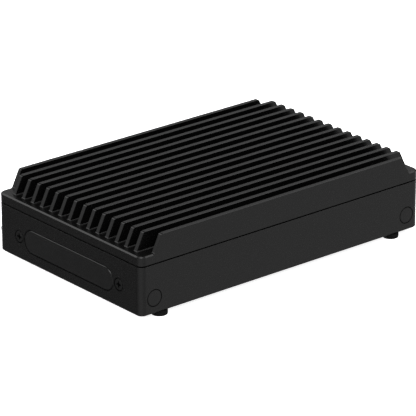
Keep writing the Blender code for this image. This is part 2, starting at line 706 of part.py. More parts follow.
def heat_path():
    """Processor, thermal pads and the block that carries heat up to the lid."""
    low_y = memory_socket_back() + SPREADER_CLEARANCE
    high_y = BACK - CONNECTOR_RECESS - LAN_SIZE[2] - SPREADER_CLEARANCE
    middle = (low_y + high_y) / 2
    top = PART_TOP + CPU_HEIGHT
    piece("cpu_package", slab((0.0, middle), CPU_SIZE, PART_TOP, top), "chip_grey")
    pad_size = [size - 2 * CPU_PAD_INSET for size in CPU_SIZE]
    pad_top = top + GAP + PAD_THICKNESS
    piece("cpu_thermal_pad", slab((0.0, middle), pad_size, top + GAP, pad_top), "pad_grey")
    lid_pad = LID_BOTTOM - GAP - PAD_THICKNESS
    block_size = (SPREADER_LENGTH, high_y - low_y)
    piece("heat_spreader_block", slab((0.0, middle), block_size, pad_top + GAP, lid_pad - GAP), "aluminium")
    piece("spreader_thermal_pad", slab((0.0, middle), block_size, lid_pad, LID_BOTTOM - GAP), "pad_grey")


def slab(centre, size, low, high):
    """Rectangular block on a centre, between two heights."""
    half_x = size[0] / 2
    half_y = size[1] / 2
    return box((centre[0] - half_x, centre[1] - half_y, low), (centre[0] + half_x, centre[1] + half_y, high))


def memory_socket_back():
    """Where the memory socket ends, toward the connector side."""
    return FRONT + WALL + MEMORY_FRONT_SPACE + MEMORY_SIZE[1] - SOCKET_SEAT + SOCKET_DEPTH


def edge_socket(name, low, high, mouth, slot):
    """Block with a slot, both given by their corners; the mouth is the side that the slot opens to."""
    socket = piece(name, box(low, high), "plastic_black")
    slot_low, slot_high = [list(corner) for corner in slot]
    axis, side = mouth
    if side < 0:
        slot_low[axis] = low[axis] - MM
    else:
        slot_high[axis] = high[axis] + MM
    combine(socket, [box(slot_low, slot_high)])


def memory():
    """Memory module in its socket, held by a latch at each end."""
    half = MEMORY_SIZE[0] / 2
    front = FRONT + WALL + MEMORY_FRONT_SPACE
    back = front + MEMORY_SIZE[1]
    low = PART_TOP + MEMORY_RISE
    high = low + MEMORY_THICKNESS
    mouth = back - SOCKET_SEAT
    socket_half = half + SOCKET_MARGIN
    slot = ((-half - GAP, mouth, low - GAP), (half + GAP, back + GAP, high + GAP))
    edge_socket("memory_socket", (-socket_half, mouth, PART_TOP),
                (socket_half, memory_socket_back(), PART_TOP + MEMORY_SOCKET_HEIGHT), (1, -1), slot)
    chips = []
    chip_y = front + MEMORY_CHIP_FRONT + MEMORY_CHIP[1] / 2
    for column in range(MEMORY_CHIPS):
        x = MEMORY_SIZE[0] * ((column + 0.5) / MEMORY_CHIPS - 0.5)
        chips.append(slab((x, chip_y), MEMORY_CHIP, low + MEMORY_THICKNESS / 2, high + CHIP_HEIGHT))
    module = piece("memory_module", box((-half, front, low), (half, back, high)), "board_green")
    combine(module, chips, "UNION")
    for name, side in (("memory_latch_left", -1), ("memory_latch_right", 1)):
        inner = half + GAP
        outline = latch_outline(side, inner, mouth - GAP)
        hinge = (side * (inner + LATCH_THICKNESS / 2), mouth - GAP - LATCH_THICKNESS / 2, PART_TOP + GAP)
        arm = piece(name, loft([(outline, PART_TOP + GAP), (outline, high + MM)]), "nickel", hinge)
        hook_low = mouth - GAP - LATCH_LENGTH
        hook = sorted((side * (half - LATCH_HOOK), side * (inner + LATCH_THICKNESS / 2)))
        hook_box = box((hook[0], hook_low, high + GAP), (hook[1], hook_low + LATCH_HOOK_LENGTH, high + MM))
        combine(arm, [hook_box], "UNION")


def latch_outline(side, inner, back):
    """Plan outline of a latch arm, from the socket to its bent free tip."""
    outer = inner + LATCH_THICKNESS
    tip = back - LATCH_LENGTH
    points = [(inner, back), (outer, back), (outer, tip), (outer + LATCH_FLARE, tip - LATCH_FLARE),
              (inner + LATCH_FLARE, tip - LATCH_FLARE - LATCH_THICKNESS), (inner, tip)]
    return [(side * x, y) for x, y in points]


def ssd_screw_place():
    """Centre of the screw that holds the storage module's free end."""
    return (SSD_CENTRE_X - SSD_SIZE[0] / 2, CENTRE_Y + SSD_CENTRE_Y)


def storage():
    """Storage module on the underside of the board, over the service cover."""
    low_x = SSD_CENTRE_X - SSD_SIZE[0] / 2
    high_x = SSD_CENTRE_X + SSD_SIZE[0] / 2
    low_y = CENTRE_Y + SSD_CENTRE_Y - SSD_SIZE[1] / 2
    high_y = low_y + SSD_SIZE[1]
    top = BOARD_BOTTOM - GAP - MODULE_STEP
    bottom = top - MODULE_THICKNESS
    mouth = high_x - SOCKET_SEAT
    slot = ((mouth, low_y - GAP, bottom - GAP), (high_x + GAP, high_y + GAP, top + GAP))
    edge_socket("ssd_socket", (mouth, low_y - SOCKET_MARGIN, BOARD_BOTTOM - GAP - LOW_SOCKET_HEIGHT),
                (mouth + SOCKET_DEPTH, high_y + SOCKET_MARGIN, BOARD_BOTTOM - GAP), (0, -1), slot)
    module = piece("ssd_module", box((low_x, low_y, bottom), (high_x, high_y, top)), "board_green")
    chips = [box((low_x + start, low_y + CHIP_MARGIN, bottom - CHIP_HEIGHT),
                 (low_x + start + SSD_CHIP_LENGTH, high_y - CHIP_MARGIN, top - MODULE_THICKNESS / 2))
             for start in SSD_CHIP_STARTS]
    combine(module, chips, "UNION")
    notch = BOARD_SCREW_RADIUS + GAP
    combine(module, [turned([(notch, bottom - MM), (notch, top + MM)], ssd_screw_place(), sides=HOLE_SIDES)])
    face = bottom - GAP - CHIP_HEIGHT
    radii = (BOARD_SCREW_HEAD_RADIUS, BOARD_SCREW_RADIUS)
    screw("ssd_screw", ssd_screw_place(), "Z", face, 1, radii, CHIP_HEIGHT, BOARD_TOP - face, "screw_steel",
          countersunk=False)


def radio():
    """Radio module on the top of the board, near the left antenna connector."""
    centre_x = -BOARD_END + RADIO_END_INSET
    low_x = centre_x - RADIO_SIZE[0] / 2
    high_x = low_x + RADIO_SIZE[0]
    low_y = CENTRE_Y + RADIO_CENTRE_Y - RADIO_SIZE[1] / 2
    high_y = low_y + RADIO_SIZE[1]
    low = PART_TOP + MODULE_STEP
    high = low + MODULE_THICKNESS
    mouth = high_y - SOCKET_SEAT
    slot = ((low_x - GAP, mouth, low - GAP), (high_x + GAP, high_y + GAP, high + GAP))
    edge_socket("radio_socket", (low_x - SOCKET_MARGIN, mouth, PART_TOP),
                (high_x + SOCKET_MARGIN, mouth + SOCKET_DEPTH, PART_TOP + LOW_SOCKET_HEIGHT), (1, -1), slot)
    module = piece("radio_module", box((low_x, low_y, low), (high_x, high_y, high)), "board_green")
    shield = box((low_x + CHIP_MARGIN, low_y + RADIO_SHIELD_FRONT, low + MODULE_THICKNESS / 2),
                 (high_x - CHIP_MARGIN, mouth - RADIO_SHIELD_BACK, high + CHIP_HEIGHT))
    combine(module, [shield], "UNION")


def coin_cell():
    """Clock battery in a round holder."""
    centre = (BOARD_END - CELL_END_INSET, CENTRE_Y + CELL_CENTRE_Y)
    floor = PART_TOP + HOLDER_WALL
    inner = CELL_RADIUS + GAP
    outer = inner + HOLDER_WALL
    top = floor + GAP + CELL_THICKNESS
    profile = [(outer, PART_TOP), (outer, top), (inner, top), (inner, floor)]
    piece("coin_cell_holder", turned(profile, centre, sides=40), "plastic_black")
    base = floor + GAP
    can = CELL_RADIUS - CELL_STEP[0]
    step = base + CELL_STEP[1]
    cell = [(can, base), (can, step), (CELL_RADIUS, step), (CELL_RADIUS, top)]
    piece("coin_cell", turned(cell, centre, sides=40), "nickel")


CONNECTORS = {"dc_jack": POWER_SIZE, "video_port": VIDEO_SIZE, "usb_stack_1": USB_SIZE,
              "lan_jack": LAN_SIZE, "usb_stack_2": USB_SIZE}
FACE = BACK - CONNECTOR_RECESS


def connector(name, finish, cavities, tongues=()):
    """Socket on the board's edge, with cavities cut in and tongues added back."""
    width, height, depth = CONNECTORS[name]
    x = ROW[name]
    body = piece(name, slab((x, FACE - depth / 2), (width, depth), PART_TOP, PART_TOP + height), finish)
    combine(body, cavities)
    if tongues:
        combine(body, tongues, "UNION")


def cavity(outline, x, height, depth):
    """Cut into a socket's face: an outline round (0, 0), placed and run in to a depth."""
    placed = [(x + point[0], height + point[1]) for point in outline]
    return loft([(placed, FACE - depth), (placed, FACE + MM)], "Y")


def tongue(x, height, size, depth):
    """Contact tongue inside a socket, rooted in the end of its cavity."""
    tip = FACE - TONGUE_SETBACK
    root = FACE - depth - MM
    return slab((x, (root + tip) / 2), (size[0], tip - root), height - size[1] / 2, height + size[1] / 2)


def usb_stacks():
    """Two double sockets."""
    for name in ("usb_stack_1", "usb_stack_2"):
        x = ROW[name]
        cavities = []
        tongues = []
        half_x = USB_OPENING[0] / 2
        half_z = USB_OPENING[1] / 2
        for level in USB_LEVELS:
            centre = PART_TOP + level
            cavities.append(cavity(rectangle((-half_x, -half_z), (half_x, half_z)), x, centre, USB_DEPTH))
            tongues.append(tongue(x, centre + USB_TONGUE_RISE, USB_TONGUE, USB_DEPTH))
        connector(name, "nickel", cavities, tongues)


def lan_jack():
    """Network socket with the latch's slot above its opening."""
    outline = [(-5.9, -5.4), (5.9, -5.4), (5.9, 1.9), (3.1, 1.9), (3.1, 3.6), (1.6, 3.6), (1.6, 5.2),
               (-1.6, 5.2), (-1.6, 3.6), (-3.1, 3.6), (-3.1, 1.9), (-5.9, 1.9)]
    placed = [(x * MM, z * MM) for x, z in outline]
    connector("lan_jack", "nickel", [cavity(placed, ROW["lan_jack"], PART_TOP + LAN_SIZE[1] / 2, LAN_DEPTH)])


def video_port():
    """Display socket with its keyed opening."""
    x = ROW["video_port"]
    centre = PART_TOP + VIDEO_SIZE[1] / 2
    outline = [(-5.2, -2.3), (5.2, -2.3), (6.9, -0.9), (6.9, 2.2), (-6.9, 2.2), (-6.9, -0.9)]
    placed = [(along * MM, z * MM) for along, z in outline]
    connector("video_port", "nickel", [cavity(placed, x, centre, VIDEO_DEPTH)],
              [tongue(x, centre + VIDEO_TONGUE_RISE, VIDEO_TONGUE, VIDEO_DEPTH)])


def dc_jack():
    """Power inlet with its centre pin."""
    x = ROW["dc_jack"]
    centre = PART_TOP + POWER_SIZE[1] / 2
    bore = cavity(circle((0.0, 0.0), POWER_BORE_RADIUS), x, centre, POWER_BORE_DEPTH)
    profile = [(POWER_PIN_RADIUS, FACE - POWER_BORE_DEPTH - MM), (POWER_PIN_RADIUS, FACE - TONGUE_SETBACK)]
    connector("dc_jack", "plastic_black", [bore], [turned(profile, (x, centre), "Y", HOLE_SIDES)])


def power_button():
    """Button through the back wall, kept in by its flange, and the switch that it presses."""
    centre = (ROW["power_button"], BUTTON_Z)
    face = BACK + BUTTON_PROUD
    shoulder = BACK - WALL - GAP
    flange_back = shoulder - BUTTON_FLANGE
    stem = flange_back - BUTTON_STEM
    flange_radius = BUTTON_RADIUS + BUTTON_FLANGE
    profile = [(BUTTON_RADIUS - BUTTON_ROUNDING, face), (BUTTON_RADIUS, face - BUTTON_ROUNDING),
               (BUTTON_RADIUS, shoulder), (flange_radius, shoulder), (flange_radius, flange_back),
               (BUTTON_STEM_RADIUS, flange_back), (BUTTON_STEM_RADIUS, stem)]
    origin = (centre[0], BACK, centre[1])
    piece("power_button", turned(profile, centre, "Y", 32), "plate_black", origin)
    switch_face = stem - BUTTON_TRAVEL - GAP
    place = (centre[0], switch_face - SWITCH_SIZE[1] / 2)
    piece("power_switch", slab(place, SWITCH_SIZE, PART_TOP, centre[1] + SWITCH_ABOVE_STEM), "plastic_black")


def status_light():
    """Light pipe from the board to the back wall."""
    x = ROW["status_light"]
    leg_face = BACK - WALL - LIGHT_STEP
    rod = turned([(LIGHT_RADIUS, leg_face - LIGHT_STEP), (LIGHT_RADIUS, BACK)], (x, BUTTON_Z), "Y")
    pipe = piece("status_light_pipe", rod, "plastic_clear")
    leg_size = (2 * LIGHT_RADIUS, LIGHT_LEG)
    leg = slab((x, leg_face - LIGHT_LEG / 2), leg_size, PART_TOP, BUTTON_Z + LIGHT_LEG_ABOVE)
    combine(pipe, [leg], "UNION")


def antenna_connectors():
    """Coaxial bulkhead connectors low at both ends of the back wall, with their nuts."""
    inner = BACK - WALL - GAP
    tip = BACK + ANTENNA_REACH
    flange_back = inner - ANTENNA_FLANGE
    tail = inner - ANTENNA_TAIL
    profile = [(ANTENNA_BODY_RADIUS / 2, tail), (ANTENNA_BODY_RADIUS, tail + ANTENNA_BODY_RADIUS / 2),
               (ANTENNA_BODY_RADIUS, flange_back), (ANTENNA_FLANGE_RADIUS, flange_back),
               (ANTENNA_FLANGE_RADIUS, inner), (ANTENNA_RADIUS, inner),
               (ANTENNA_RADIUS, tip - ANTENNA_ROUNDING), (ANTENNA_RADIUS - ANTENNA_ROUNDING, tip),
               (ANTENNA_BORE_RADIUS, tip), (ANTENNA_BORE_RADIUS, tip - ANTENNA_BORE_DEPTH),
               (ANTENNA_PIN_RADIUS, tip - ANTENNA_BORE_DEPTH),
               (ANTENNA_PIN_RADIUS, tip - ANTENNA_PIN_SETBACK)]
    places = [(side * ANTENNA_X, ANTENNA_Z) for side in (-1, 1)]
    for name, place in numbered("antenna_connector", places):
        piece(name, turned(profile, place, "Y"), "screw_black")
    low = BACK + GAP
    for name, place in numbered("antenna_nut", places):
        outline = circle(place, ANTENNA_NUT_FLATS / math.sqrt(3), 6)
        nut = piece(name, loft([(outline, low), (outline, low + ANTENNA_NUT)], "Y"), "screw_black")
        bore = ANTENNA_RADIUS + GAP
        combine(nut, [turned([(bore, low - MM), (bore, low + ANTENNA_NUT + MM)], place, "Y")])


def smooth_route(points, spacing):
    """Points about `spacing` apart on a smooth curve through the given ones."""
    ends = [points[0]] + points + [points[-1]]
    route = []
    for before, start, stop, after in zip(ends, ends[1:], ends[2:], ends[3:]):
        steps = max(1, round(math.dist(start, stop) / spacing))
        for step in range(steps):
            t = step / steps
            route.append([0.5 * (2 * b + (c - a) * t + (2 * a - 5 * b + 4 * c - d) * t * t
                                 + (3 * b - a - 3 * c + d) * t ** 3)
                          for a, b, c, d in zip(before, start, stop, after)])
    route.append(points[-1])
    return route


def cable(name, points):
    """Thin coaxial lead along a route."""
    curve = bpy.data.curves.new(name, "CURVE")
    curve.dimensions = "3D"
    curve.bevel_depth = CABLE_RADIUS
    curve.bevel_resolution = 1
    curve.use_fill_caps = True
    curve.materials.append(look("cable_black"))
    route = smooth_route(points, CABLE_POINT_SPACING)
    spline = curve.splines.new("POLY")
    spline.points.add(len(route) - 1)
    for point, place in zip(spline.points, route):
        point.co = (*place, 1.0)
    bpy.context.scene.collection.objects.link(bpy.data.objects.new(name, curve))


def antenna_cables():
    """Leads from both antenna connectors to the radio module."""
    start_y = BACK - WALL - ANTENNA_TAIL - 2 * GAP
    radio_x = -BOARD_END + RADIO_END_INSET
    radio_y = CENTRE_Y + RADIO_CENTRE_Y - RADIO_SIZE[1] / 2 + 3 * MM
    plug_z = PART_TOP + MODULE_STEP + MODULE_THICKNESS + CABLE_RADIUS + GAP
    high = PART_TOP + 2 * MM
    near = -ANTENNA_X
    cable("antenna_cable_1", [
        (near, start_y, ANTENNA_Z), (near, start_y - 8 * MM, ANTENNA_Z),
        (near, CENTRE_Y + 20 * MM, ANTENNA_Z), (near, CENTRE_Y + 2 * MM, high),
        (near + 3 * MM, CENTRE_Y - 12 * MM, plug_z),
        (-BOARD_END + 6 * MM, radio_y - 5 * MM, plug_z), (radio_x - 7 * MM, radio_y, plug_z)])
    far = ANTENNA_X
    aisle = BOARD_FRONT + 0.7 * MM
    inside_post = FRONT + WALL + POST_DEPTH + 3 * MM
    cable("antenna_cable_2", [
        (far, start_y, ANTENNA_Z), (far, start_y - 8 * MM, ANTENNA_Z), (far, CENTRE_Y, ANTENNA_Z),
        (far - MM, CENTRE_Y - 20 * MM, high), (POST_X + 7 * MM, inside_post + 2 * MM, high),
        (POST_X - 4 * MM, inside_post, high), (POST_X - 14 * MM, aisle + 5 * MM, high),
        (38 * MM, aisle, high), (0.0, aisle, high), (-38 * MM, aisle, high),
        (-POST_X + 14 * MM, aisle + 5 * MM, high), (-POST_X + 4 * MM, inside_post, high),
        (-BOARD_END + 4 * MM, inside_post + 12 * MM, high), (-BOARD_END + 9 * MM, radio_y - 6 * MM, plug_z),
        (radio_x + 7 * MM, radio_y, plug_z)])


def build():
    """The whole computer."""
    for old in list(bpy.data.objects):
        bpy.data.objects.remove(old)
    heatsink_lid()
    base_housing()
    end_plates()
    side_plugs()
    feet_and_lid_screws()
    service_cover()
    mainboard()
    heat_path()
    memory()
    storage()
    radio()
    coin_cell()
    usb_stacks()
    lan_jack()
    video_port()
    dc_jack()
    power_button()
    status_light()
    antenna_connectors()
    antenna_cables()


build()
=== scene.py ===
import json
import math
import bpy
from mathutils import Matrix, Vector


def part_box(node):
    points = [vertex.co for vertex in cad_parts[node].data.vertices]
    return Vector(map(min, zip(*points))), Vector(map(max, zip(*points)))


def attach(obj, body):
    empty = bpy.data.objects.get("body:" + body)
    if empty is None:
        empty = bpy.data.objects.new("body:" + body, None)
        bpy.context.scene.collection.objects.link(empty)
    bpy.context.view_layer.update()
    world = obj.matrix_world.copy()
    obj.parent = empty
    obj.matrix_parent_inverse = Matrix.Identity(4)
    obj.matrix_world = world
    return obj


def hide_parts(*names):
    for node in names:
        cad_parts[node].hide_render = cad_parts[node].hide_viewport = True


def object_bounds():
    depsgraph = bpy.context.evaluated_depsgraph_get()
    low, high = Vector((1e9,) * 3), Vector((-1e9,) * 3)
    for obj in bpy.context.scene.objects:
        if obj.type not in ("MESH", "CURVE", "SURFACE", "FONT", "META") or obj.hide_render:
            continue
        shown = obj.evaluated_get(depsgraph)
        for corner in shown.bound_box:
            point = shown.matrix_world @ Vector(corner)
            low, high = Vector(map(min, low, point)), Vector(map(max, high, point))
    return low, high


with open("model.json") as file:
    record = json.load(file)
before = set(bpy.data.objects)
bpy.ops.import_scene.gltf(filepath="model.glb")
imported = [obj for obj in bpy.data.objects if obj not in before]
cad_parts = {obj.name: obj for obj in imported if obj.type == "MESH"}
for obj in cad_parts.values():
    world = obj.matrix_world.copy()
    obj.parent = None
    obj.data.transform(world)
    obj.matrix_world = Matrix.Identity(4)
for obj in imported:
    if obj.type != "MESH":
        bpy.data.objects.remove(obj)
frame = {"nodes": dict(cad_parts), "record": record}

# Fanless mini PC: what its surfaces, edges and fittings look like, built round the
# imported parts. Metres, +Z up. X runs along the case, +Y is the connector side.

from types import SimpleNamespace

import bmesh
import bpy
from mathutils import Matrix, Vector

CAD_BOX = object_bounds()
MM = 0.001
GAP = 0.3 * MM        # clearance between neighbours
BREAK = 1.0 * MM      # how far a cutter starts outside what it cuts


# ---------------------------------------------------------------- places from the frame

def span(node):
    """A node's box with named sides, its middle and its size."""
    low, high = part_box(node)
    return SimpleNamespace(low=low, high=high, middle=(low + high) / 2, size=high - low)


BASE = span("base_housing")
LID = span("heatsink_lid")
PLATE = span("end_plate_left")
MIDDLE_Y = BASE.middle.y
FRONT = BASE.low.y
BACK = BASE.high.y
END = BASE.high.x
UNDERSIDE = BASE.low.z
SEAM = BASE.high.z

WALL = 3.0 * MM
FLOOR_TOP = UNDERSIDE + WALL
CORNER_RADIUS = 3.5 * MM
EDGE_CHAMFER = 0.6 * MM
SEAM_CHAMFER = 0.03 * MM
SEAM_REBATE = (0.8 * MM, 0.4 * MM)   # how deep and how high the shadow line is cut into the lid
FIN_HEIGHT = 9.0 * MM
DECK = LID.high.z - FIN_HEIGHT


def numbered(name, count):
    """Node names counted from 1."""
    return [f"{name}_{index}" for index in range(1, count + 1)]


# ---------------------------------------------------------------- modelling helpers

ALIGNED = 0.999       # how square on to a direction a face or an edge has to be
TURNS = {             # how a piece that points up is turned to point each way
    "+X": (0.0, math.pi / 2, 0.0),
    "-X": (0.0, -math.pi / 2, 0.0),
    "+Y": (-math.pi / 2, 0.0, 0.0),
    "-Y": (math.pi / 2, 0.0, 0.0),
    "+Z": (0.0, 0.0, 0.0),
    "-Z": (math.pi, 0.0, 0.0),
}


def chosen(*pieces):
    """Selects only these pieces; the first is the active one."""
    bpy.ops.object.select_all(action="DESELECT")
    for piece in pieces:
        piece.select_set(True)
    bpy.context.view_layer.objects.active = pieces[0]


def settled(name, turn=(0.0, 0.0, 0.0), place=(0.0, 0.0, 0.0)):
    """Names the active object and puts its place and turn into its mesh."""
    piece = bpy.context.object
    piece.name = piece.data.name = name
    bpy.ops.object.transform_apply(location=True, rotation=True, scale=True)
    if any(turn) or any(place):
        piece.rotation_euler = turn
        piece.location = place
        bpy.ops.object.transform_apply(location=True, rotation=True, scale=True)
    return piece


def block(name, low, high):
    """Block between two corners, to be shaped further."""
    middle = [(a + b) / 2 for a, b in zip(low, high)]
    size = [b - a for a, b in zip(low, high)]
    bpy.ops.object.select_all(action="DESELECT")
    bpy.ops.mesh.primitive_cube_add(size=1, location=middle, scale=size)
    return settled(name)


def editing(piece):
    """Opens a piece in edit mode."""
    chosen(piece)
    bpy.ops.object.mode_set(mode="EDIT")


def done():
    """Closes edit mode."""
    bpy.ops.object.mode_set(mode="OBJECT")


def pick_faces(test):
    """Selects the faces whose middle and normal pass a test."""
    bpy.ops.mesh.select_mode(type="FACE")
    bpy.ops.mesh.select_all(action="DESELECT")
    data = bpy.context.object.data
    mesh = bmesh.from_edit_mesh(data)
    for face in mesh.faces:
        if test(face.calc_center_median(), face.normal):
            face.select_set(True)
    bmesh.update_edit_mesh(data)


def pick_facing(way):
    """Selects the faces that look one way, such as "-X"."""
    sign = -1 if way[0] == "-" else 1
    axis = "XYZ".index(way[1])
    pick_faces(lambda middle, normal: normal[axis] * sign > ALIGNED)


def pick_edges(test):
    """Selects the edges whose middle and direction pass a test."""
    bpy.ops.mesh.select_mode(type="EDGE")
    bpy.ops.mesh.select_all(action="DESELECT")
    data = bpy.context.object.data
    mesh = bmesh.from_edit_mesh(data)
    for edge in mesh.edges:
        start, stop = (vert.co for vert in edge.verts)
        if test((start + stop) / 2, (stop - start).normalized()):
            edge.select_set(True)
    bmesh.update_edit_mesh(data)


def extrude(x, y, z):
    """Extrudes what is selected by a shift."""
    bpy.ops.mesh.extrude_region_move(TRANSFORM_OT_translate={"value": (x, y, z)})


def bevel(size, segments=1):
    """Bevels the selected edges."""
    bpy.ops.mesh.bevel(offset=size, offset_type="OFFSET", segments=segments, affect="EDGES")


def round_edges(piece, axis, radius, segments=10, test=lambda middle: True):
    """Rounds a piece's edges that run along an axis."""
    editing(piece)
    pick_edges(lambda middle, way: abs(way[axis]) > ALIGNED and test(middle))
    bevel(radius, segments)
    done()


def chamfer_face(piece, way, width):
    """Chamfers the outline of the faces that look one way."""
    editing(piece)
    pick_facing(way)
    bevel(width)
    done()


def soften(piece, width, segments=2, angle=40.0):
    """Rounds every sharp edge of a piece a little."""
    chosen(piece)
    bpy.ops.object.modifier_add(type="BEVEL")
    rounding = piece.modifiers[-1]
    rounding.width = width
    rounding.segments = segments
    rounding.limit_method = "ANGLE"
    rounding.angle_limit = math.radians(angle)
    bpy.ops.object.modifier_apply(modifier=rounding.name)


def ring_up(profile):
    """In edit mode, draws the selected cap through the rings of a profile."""
    radius, height = profile[0]
    for next_radius, next_height in profile[1:]:
        extrude(0.0, 0.0, next_height - height)
        ratio = next_radius / radius
        bpy.ops.transform.resize(value=(ratio, ratio, 1.0), center_override=(0.0, 0.0, next_height))
        radius, height = next_radius, next_height


def rings(*pairs):
    """Profile of a round piece, from (radius, distance) pairs in millimetres."""
    return [(radius * MM, distance * MM) for radius, distance in pairs]


def turned(name, profile, place, way="+Z", sides=48):
    """Round piece drawn up ring by ring along its profile, from its place one way."""
    radius, height = profile[0]
    bpy.ops.object.select_all(action="DESELECT")
    bpy.ops.mesh.primitive_circle_add(vertices=sides, radius=radius, fill_type="NGON",
                                      location=(0.0, 0.0, height))
    piece = settled(name)
    bpy.ops.object.mode_set(mode="EDIT")
    bpy.ops.mesh.select_all(action="SELECT")
    ring_up(profile)
    bpy.ops.mesh.select_all(action="SELECT")
    bpy.ops.mesh.normals_make_consistent(inside=False)
    done()
    return settled(name, TURNS[way], place)


def joined(name, pieces):
    """Several pieces as one object."""
    chosen(*pieces)
    if len(pieces) > 1:
        bpy.ops.object.join()
    piece = bpy.context.object
    piece.name = piece.data.name = name
    return piece


def uprights(nodes, profile, height, sides=24):
    """The same upright round piece at each node, from a height."""
    made = []
    for node in nodes:
        middle = span(node).middle
        made.append(turned("upright", profile, (middle.x, middle.y, height), sides=sides))
    return made


def combine(piece, tools, operation="DIFFERENCE"):
    """Cuts tools out of a piece, or adds them to it; tools that don't touch go in one step."""
    tool = joined("tool", tools)
    chosen(piece)
    bpy.ops.object.modifier_add(type="BOOLEAN")
    change = piece.modifiers[-1]
    change.operation = operation
    change.object = tool
    bpy.ops.object.modifier_apply(modifier=change.name)
    bpy.data.objects.remove(tool)


SMOOTH_ANGLE = math.radians(32.0)


def copied(piece, name, shift=(0.0, 0.0, 0.0), half_turn=False):
    """Copy with its own mesh, moved, or turned half round the middle of the case."""
    copy = piece.copy()
    copy.data = piece.data.copy()
    copy.name = copy.data.name = name
    bpy.context.scene.collection.objects.link(copy)
    if half_turn:
        middle = Vector((0.0, MIDDLE_Y, 0.0))
        copy.data.transform(Matrix.Translation(middle) @ Matrix.Rotation(math.pi, 4, "Z")
                            @ Matrix.Translation(-middle))
    copy.data.transform(Matrix.Translation(Vector(shift)))
    return copy


def fitted(piece, slot, nodes=(), body="case", finish=None):
    """Finishes a piece: smooth rounds, flat faces, its look, and the parts it stands for. The
    look is its slot's own unless another is named."""
    chosen(piece)
    bpy.ops.object.shade_smooth_by_angle(angle=SMOOTH_ANGLE)
    bpy.ops.object.modifier_add(type="WEIGHTED_NORMAL")
    weighted = piece.modifiers[-1]
    weighted.keep_sharp = True
    bpy.ops.object.modifier_apply(modifier=weighted.name)
    piece.data.materials.clear()
    piece.data.materials.append(FINISHES[finish or slot])
    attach(piece, body)
    if nodes:
        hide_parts(*nodes)
    return piece


# ---------------------------------------------------------------- finishes

class Wire:
    """A value in a node tree that Python's operators work on."""

    def __init__(self, tree, socket):
        self.tree = tree
        self.socket = socket

    def maths(self, operation, first, second):
        return self.tree.node("Math", {"operation": operation}, {0: first, 1: second})

    def __add__(self, other):
        return self.maths("ADD", self, other)

    def __sub__(self, other):
        return self.maths("SUBTRACT", self, other)

    def __rsub__(self, other):
        return self.maths("SUBTRACT", other, self)

    def __mul__(self, other):
        return self.maths("MULTIPLY", self, other)

    def __gt__(self, other):
        return self.maths("GREATER_THAN", self, other)

    def __lt__(self, other):
        return self.maths("LESS_THAN", self, other)

    __radd__ = __add__
    __rmul__ = __mul__


# The colour sockets of a Mix node, whose other sockets have the same names.
MIX_FIRST, MIX_SECOND, MIX_RESULT = 6, 7, 2


class Tree:
    """The nodes of a material or of the world, under construction."""

    def __init__(self, owner):
        owner.use_nodes = True
        self.nodes = owner.node_tree.nodes
        self.links = owner.node_tree.links

    def plug(self, socket, value):
        """Links a wire to a socket, or sets the socket's value."""
        if isinstance(value, Wire):
            self.links.new(value.socket, socket)
        else:
            socket.default_value = value

    def node(self, kind, settings, sockets, output=0):
        """One node: its settings come first, then the values or links of its sockets."""
        made = self.nodes.new("ShaderNode" + kind)
        for key, value in settings.items():
            if key == "stops":
                self.ramp_stops(made.color_ramp, value)
            else:
                setattr(made, key, value)
        for key, value in sockets.items():
            self.plug(made.inputs[key], value)
        return Wire(self, made.outputs[output])

    def ramp_stops(self, ramp, stops):
        """Sets a ramp's stops, each a place and a grey."""
        while len(ramp.elements) < len(stops):
            ramp.elements.new(0.5)
        for element, (place, grey) in zip(ramp.elements, stops):
            element.position = place
            element.color = (grey, grey, grey, 1.0)

    def ramp(self, value, *stops):
        """A value read through a ramp of greys."""
        return self.node("ValToRGB", {"stops": stops}, {"Fac": value}, "Color")


class Finish(Tree):
    """A material under construction, round one Principled shader."""

    def __init__(self, name, **constants):
        self.material = bpy.data.materials.new(name)
        super().__init__(self.material)
        self.shader = self.nodes["Principled BSDF"]
        for socket, value in constants.items():
            self.shader.inputs[socket.replace("_", " ")].default_value = value

    def place(self):
        """Where on the piece a point is, in metres."""
        return self.node("TexCoord", {}, {}, "Object")

    def noise(self, size, detail=2.0, rough=0.5, vector=None):
        """Grey noise whose patches are about `size` metres across."""
        sockets = {"Vector": vector or self.place(), "Scale": 1.0 / size,
                   "Detail": detail, "Roughness": rough}
        return self.node("TexNoise", {}, sockets, "Fac")

    def stretched(self, x, y, z):
        """The place, scaled along each axis."""
        return self.node("Mapping", {}, {"Vector": self.place(), "Scale": (x, y, z)})

    def blend(self, share, first, second):
        """Colour between two colours."""
        sockets = {"Factor": share, MIX_FIRST: first, MIX_SECOND: second}
        return self.node("Mix", {"data_type": "RGBA"}, sockets, MIX_RESULT)

    def paint(self, colour=None, roughness=None, metallic=None, height=None, depth=0.0):
        """Plugs what varies into the shader; height is a relief `depth` metres deep."""
        for socket, value in (("Base Color", colour), ("Roughness", roughness), ("Metallic", metallic)):
            if value is not None:
                self.plug(self.shader.inputs[socket], value)
        if height is not None:
            sockets = {"Strength": 1.0, "Distance": depth, "Height": height}
            self.plug(self.shader.inputs["Normal"], self.node("Bump", {}, sockets, "Normal"))
        return self.material


def grey(level, warmth=0.0):
    """A near-neutral colour."""
    return (level * (1.0 + warmth), level, level * (1.0 - warmth), 1.0)


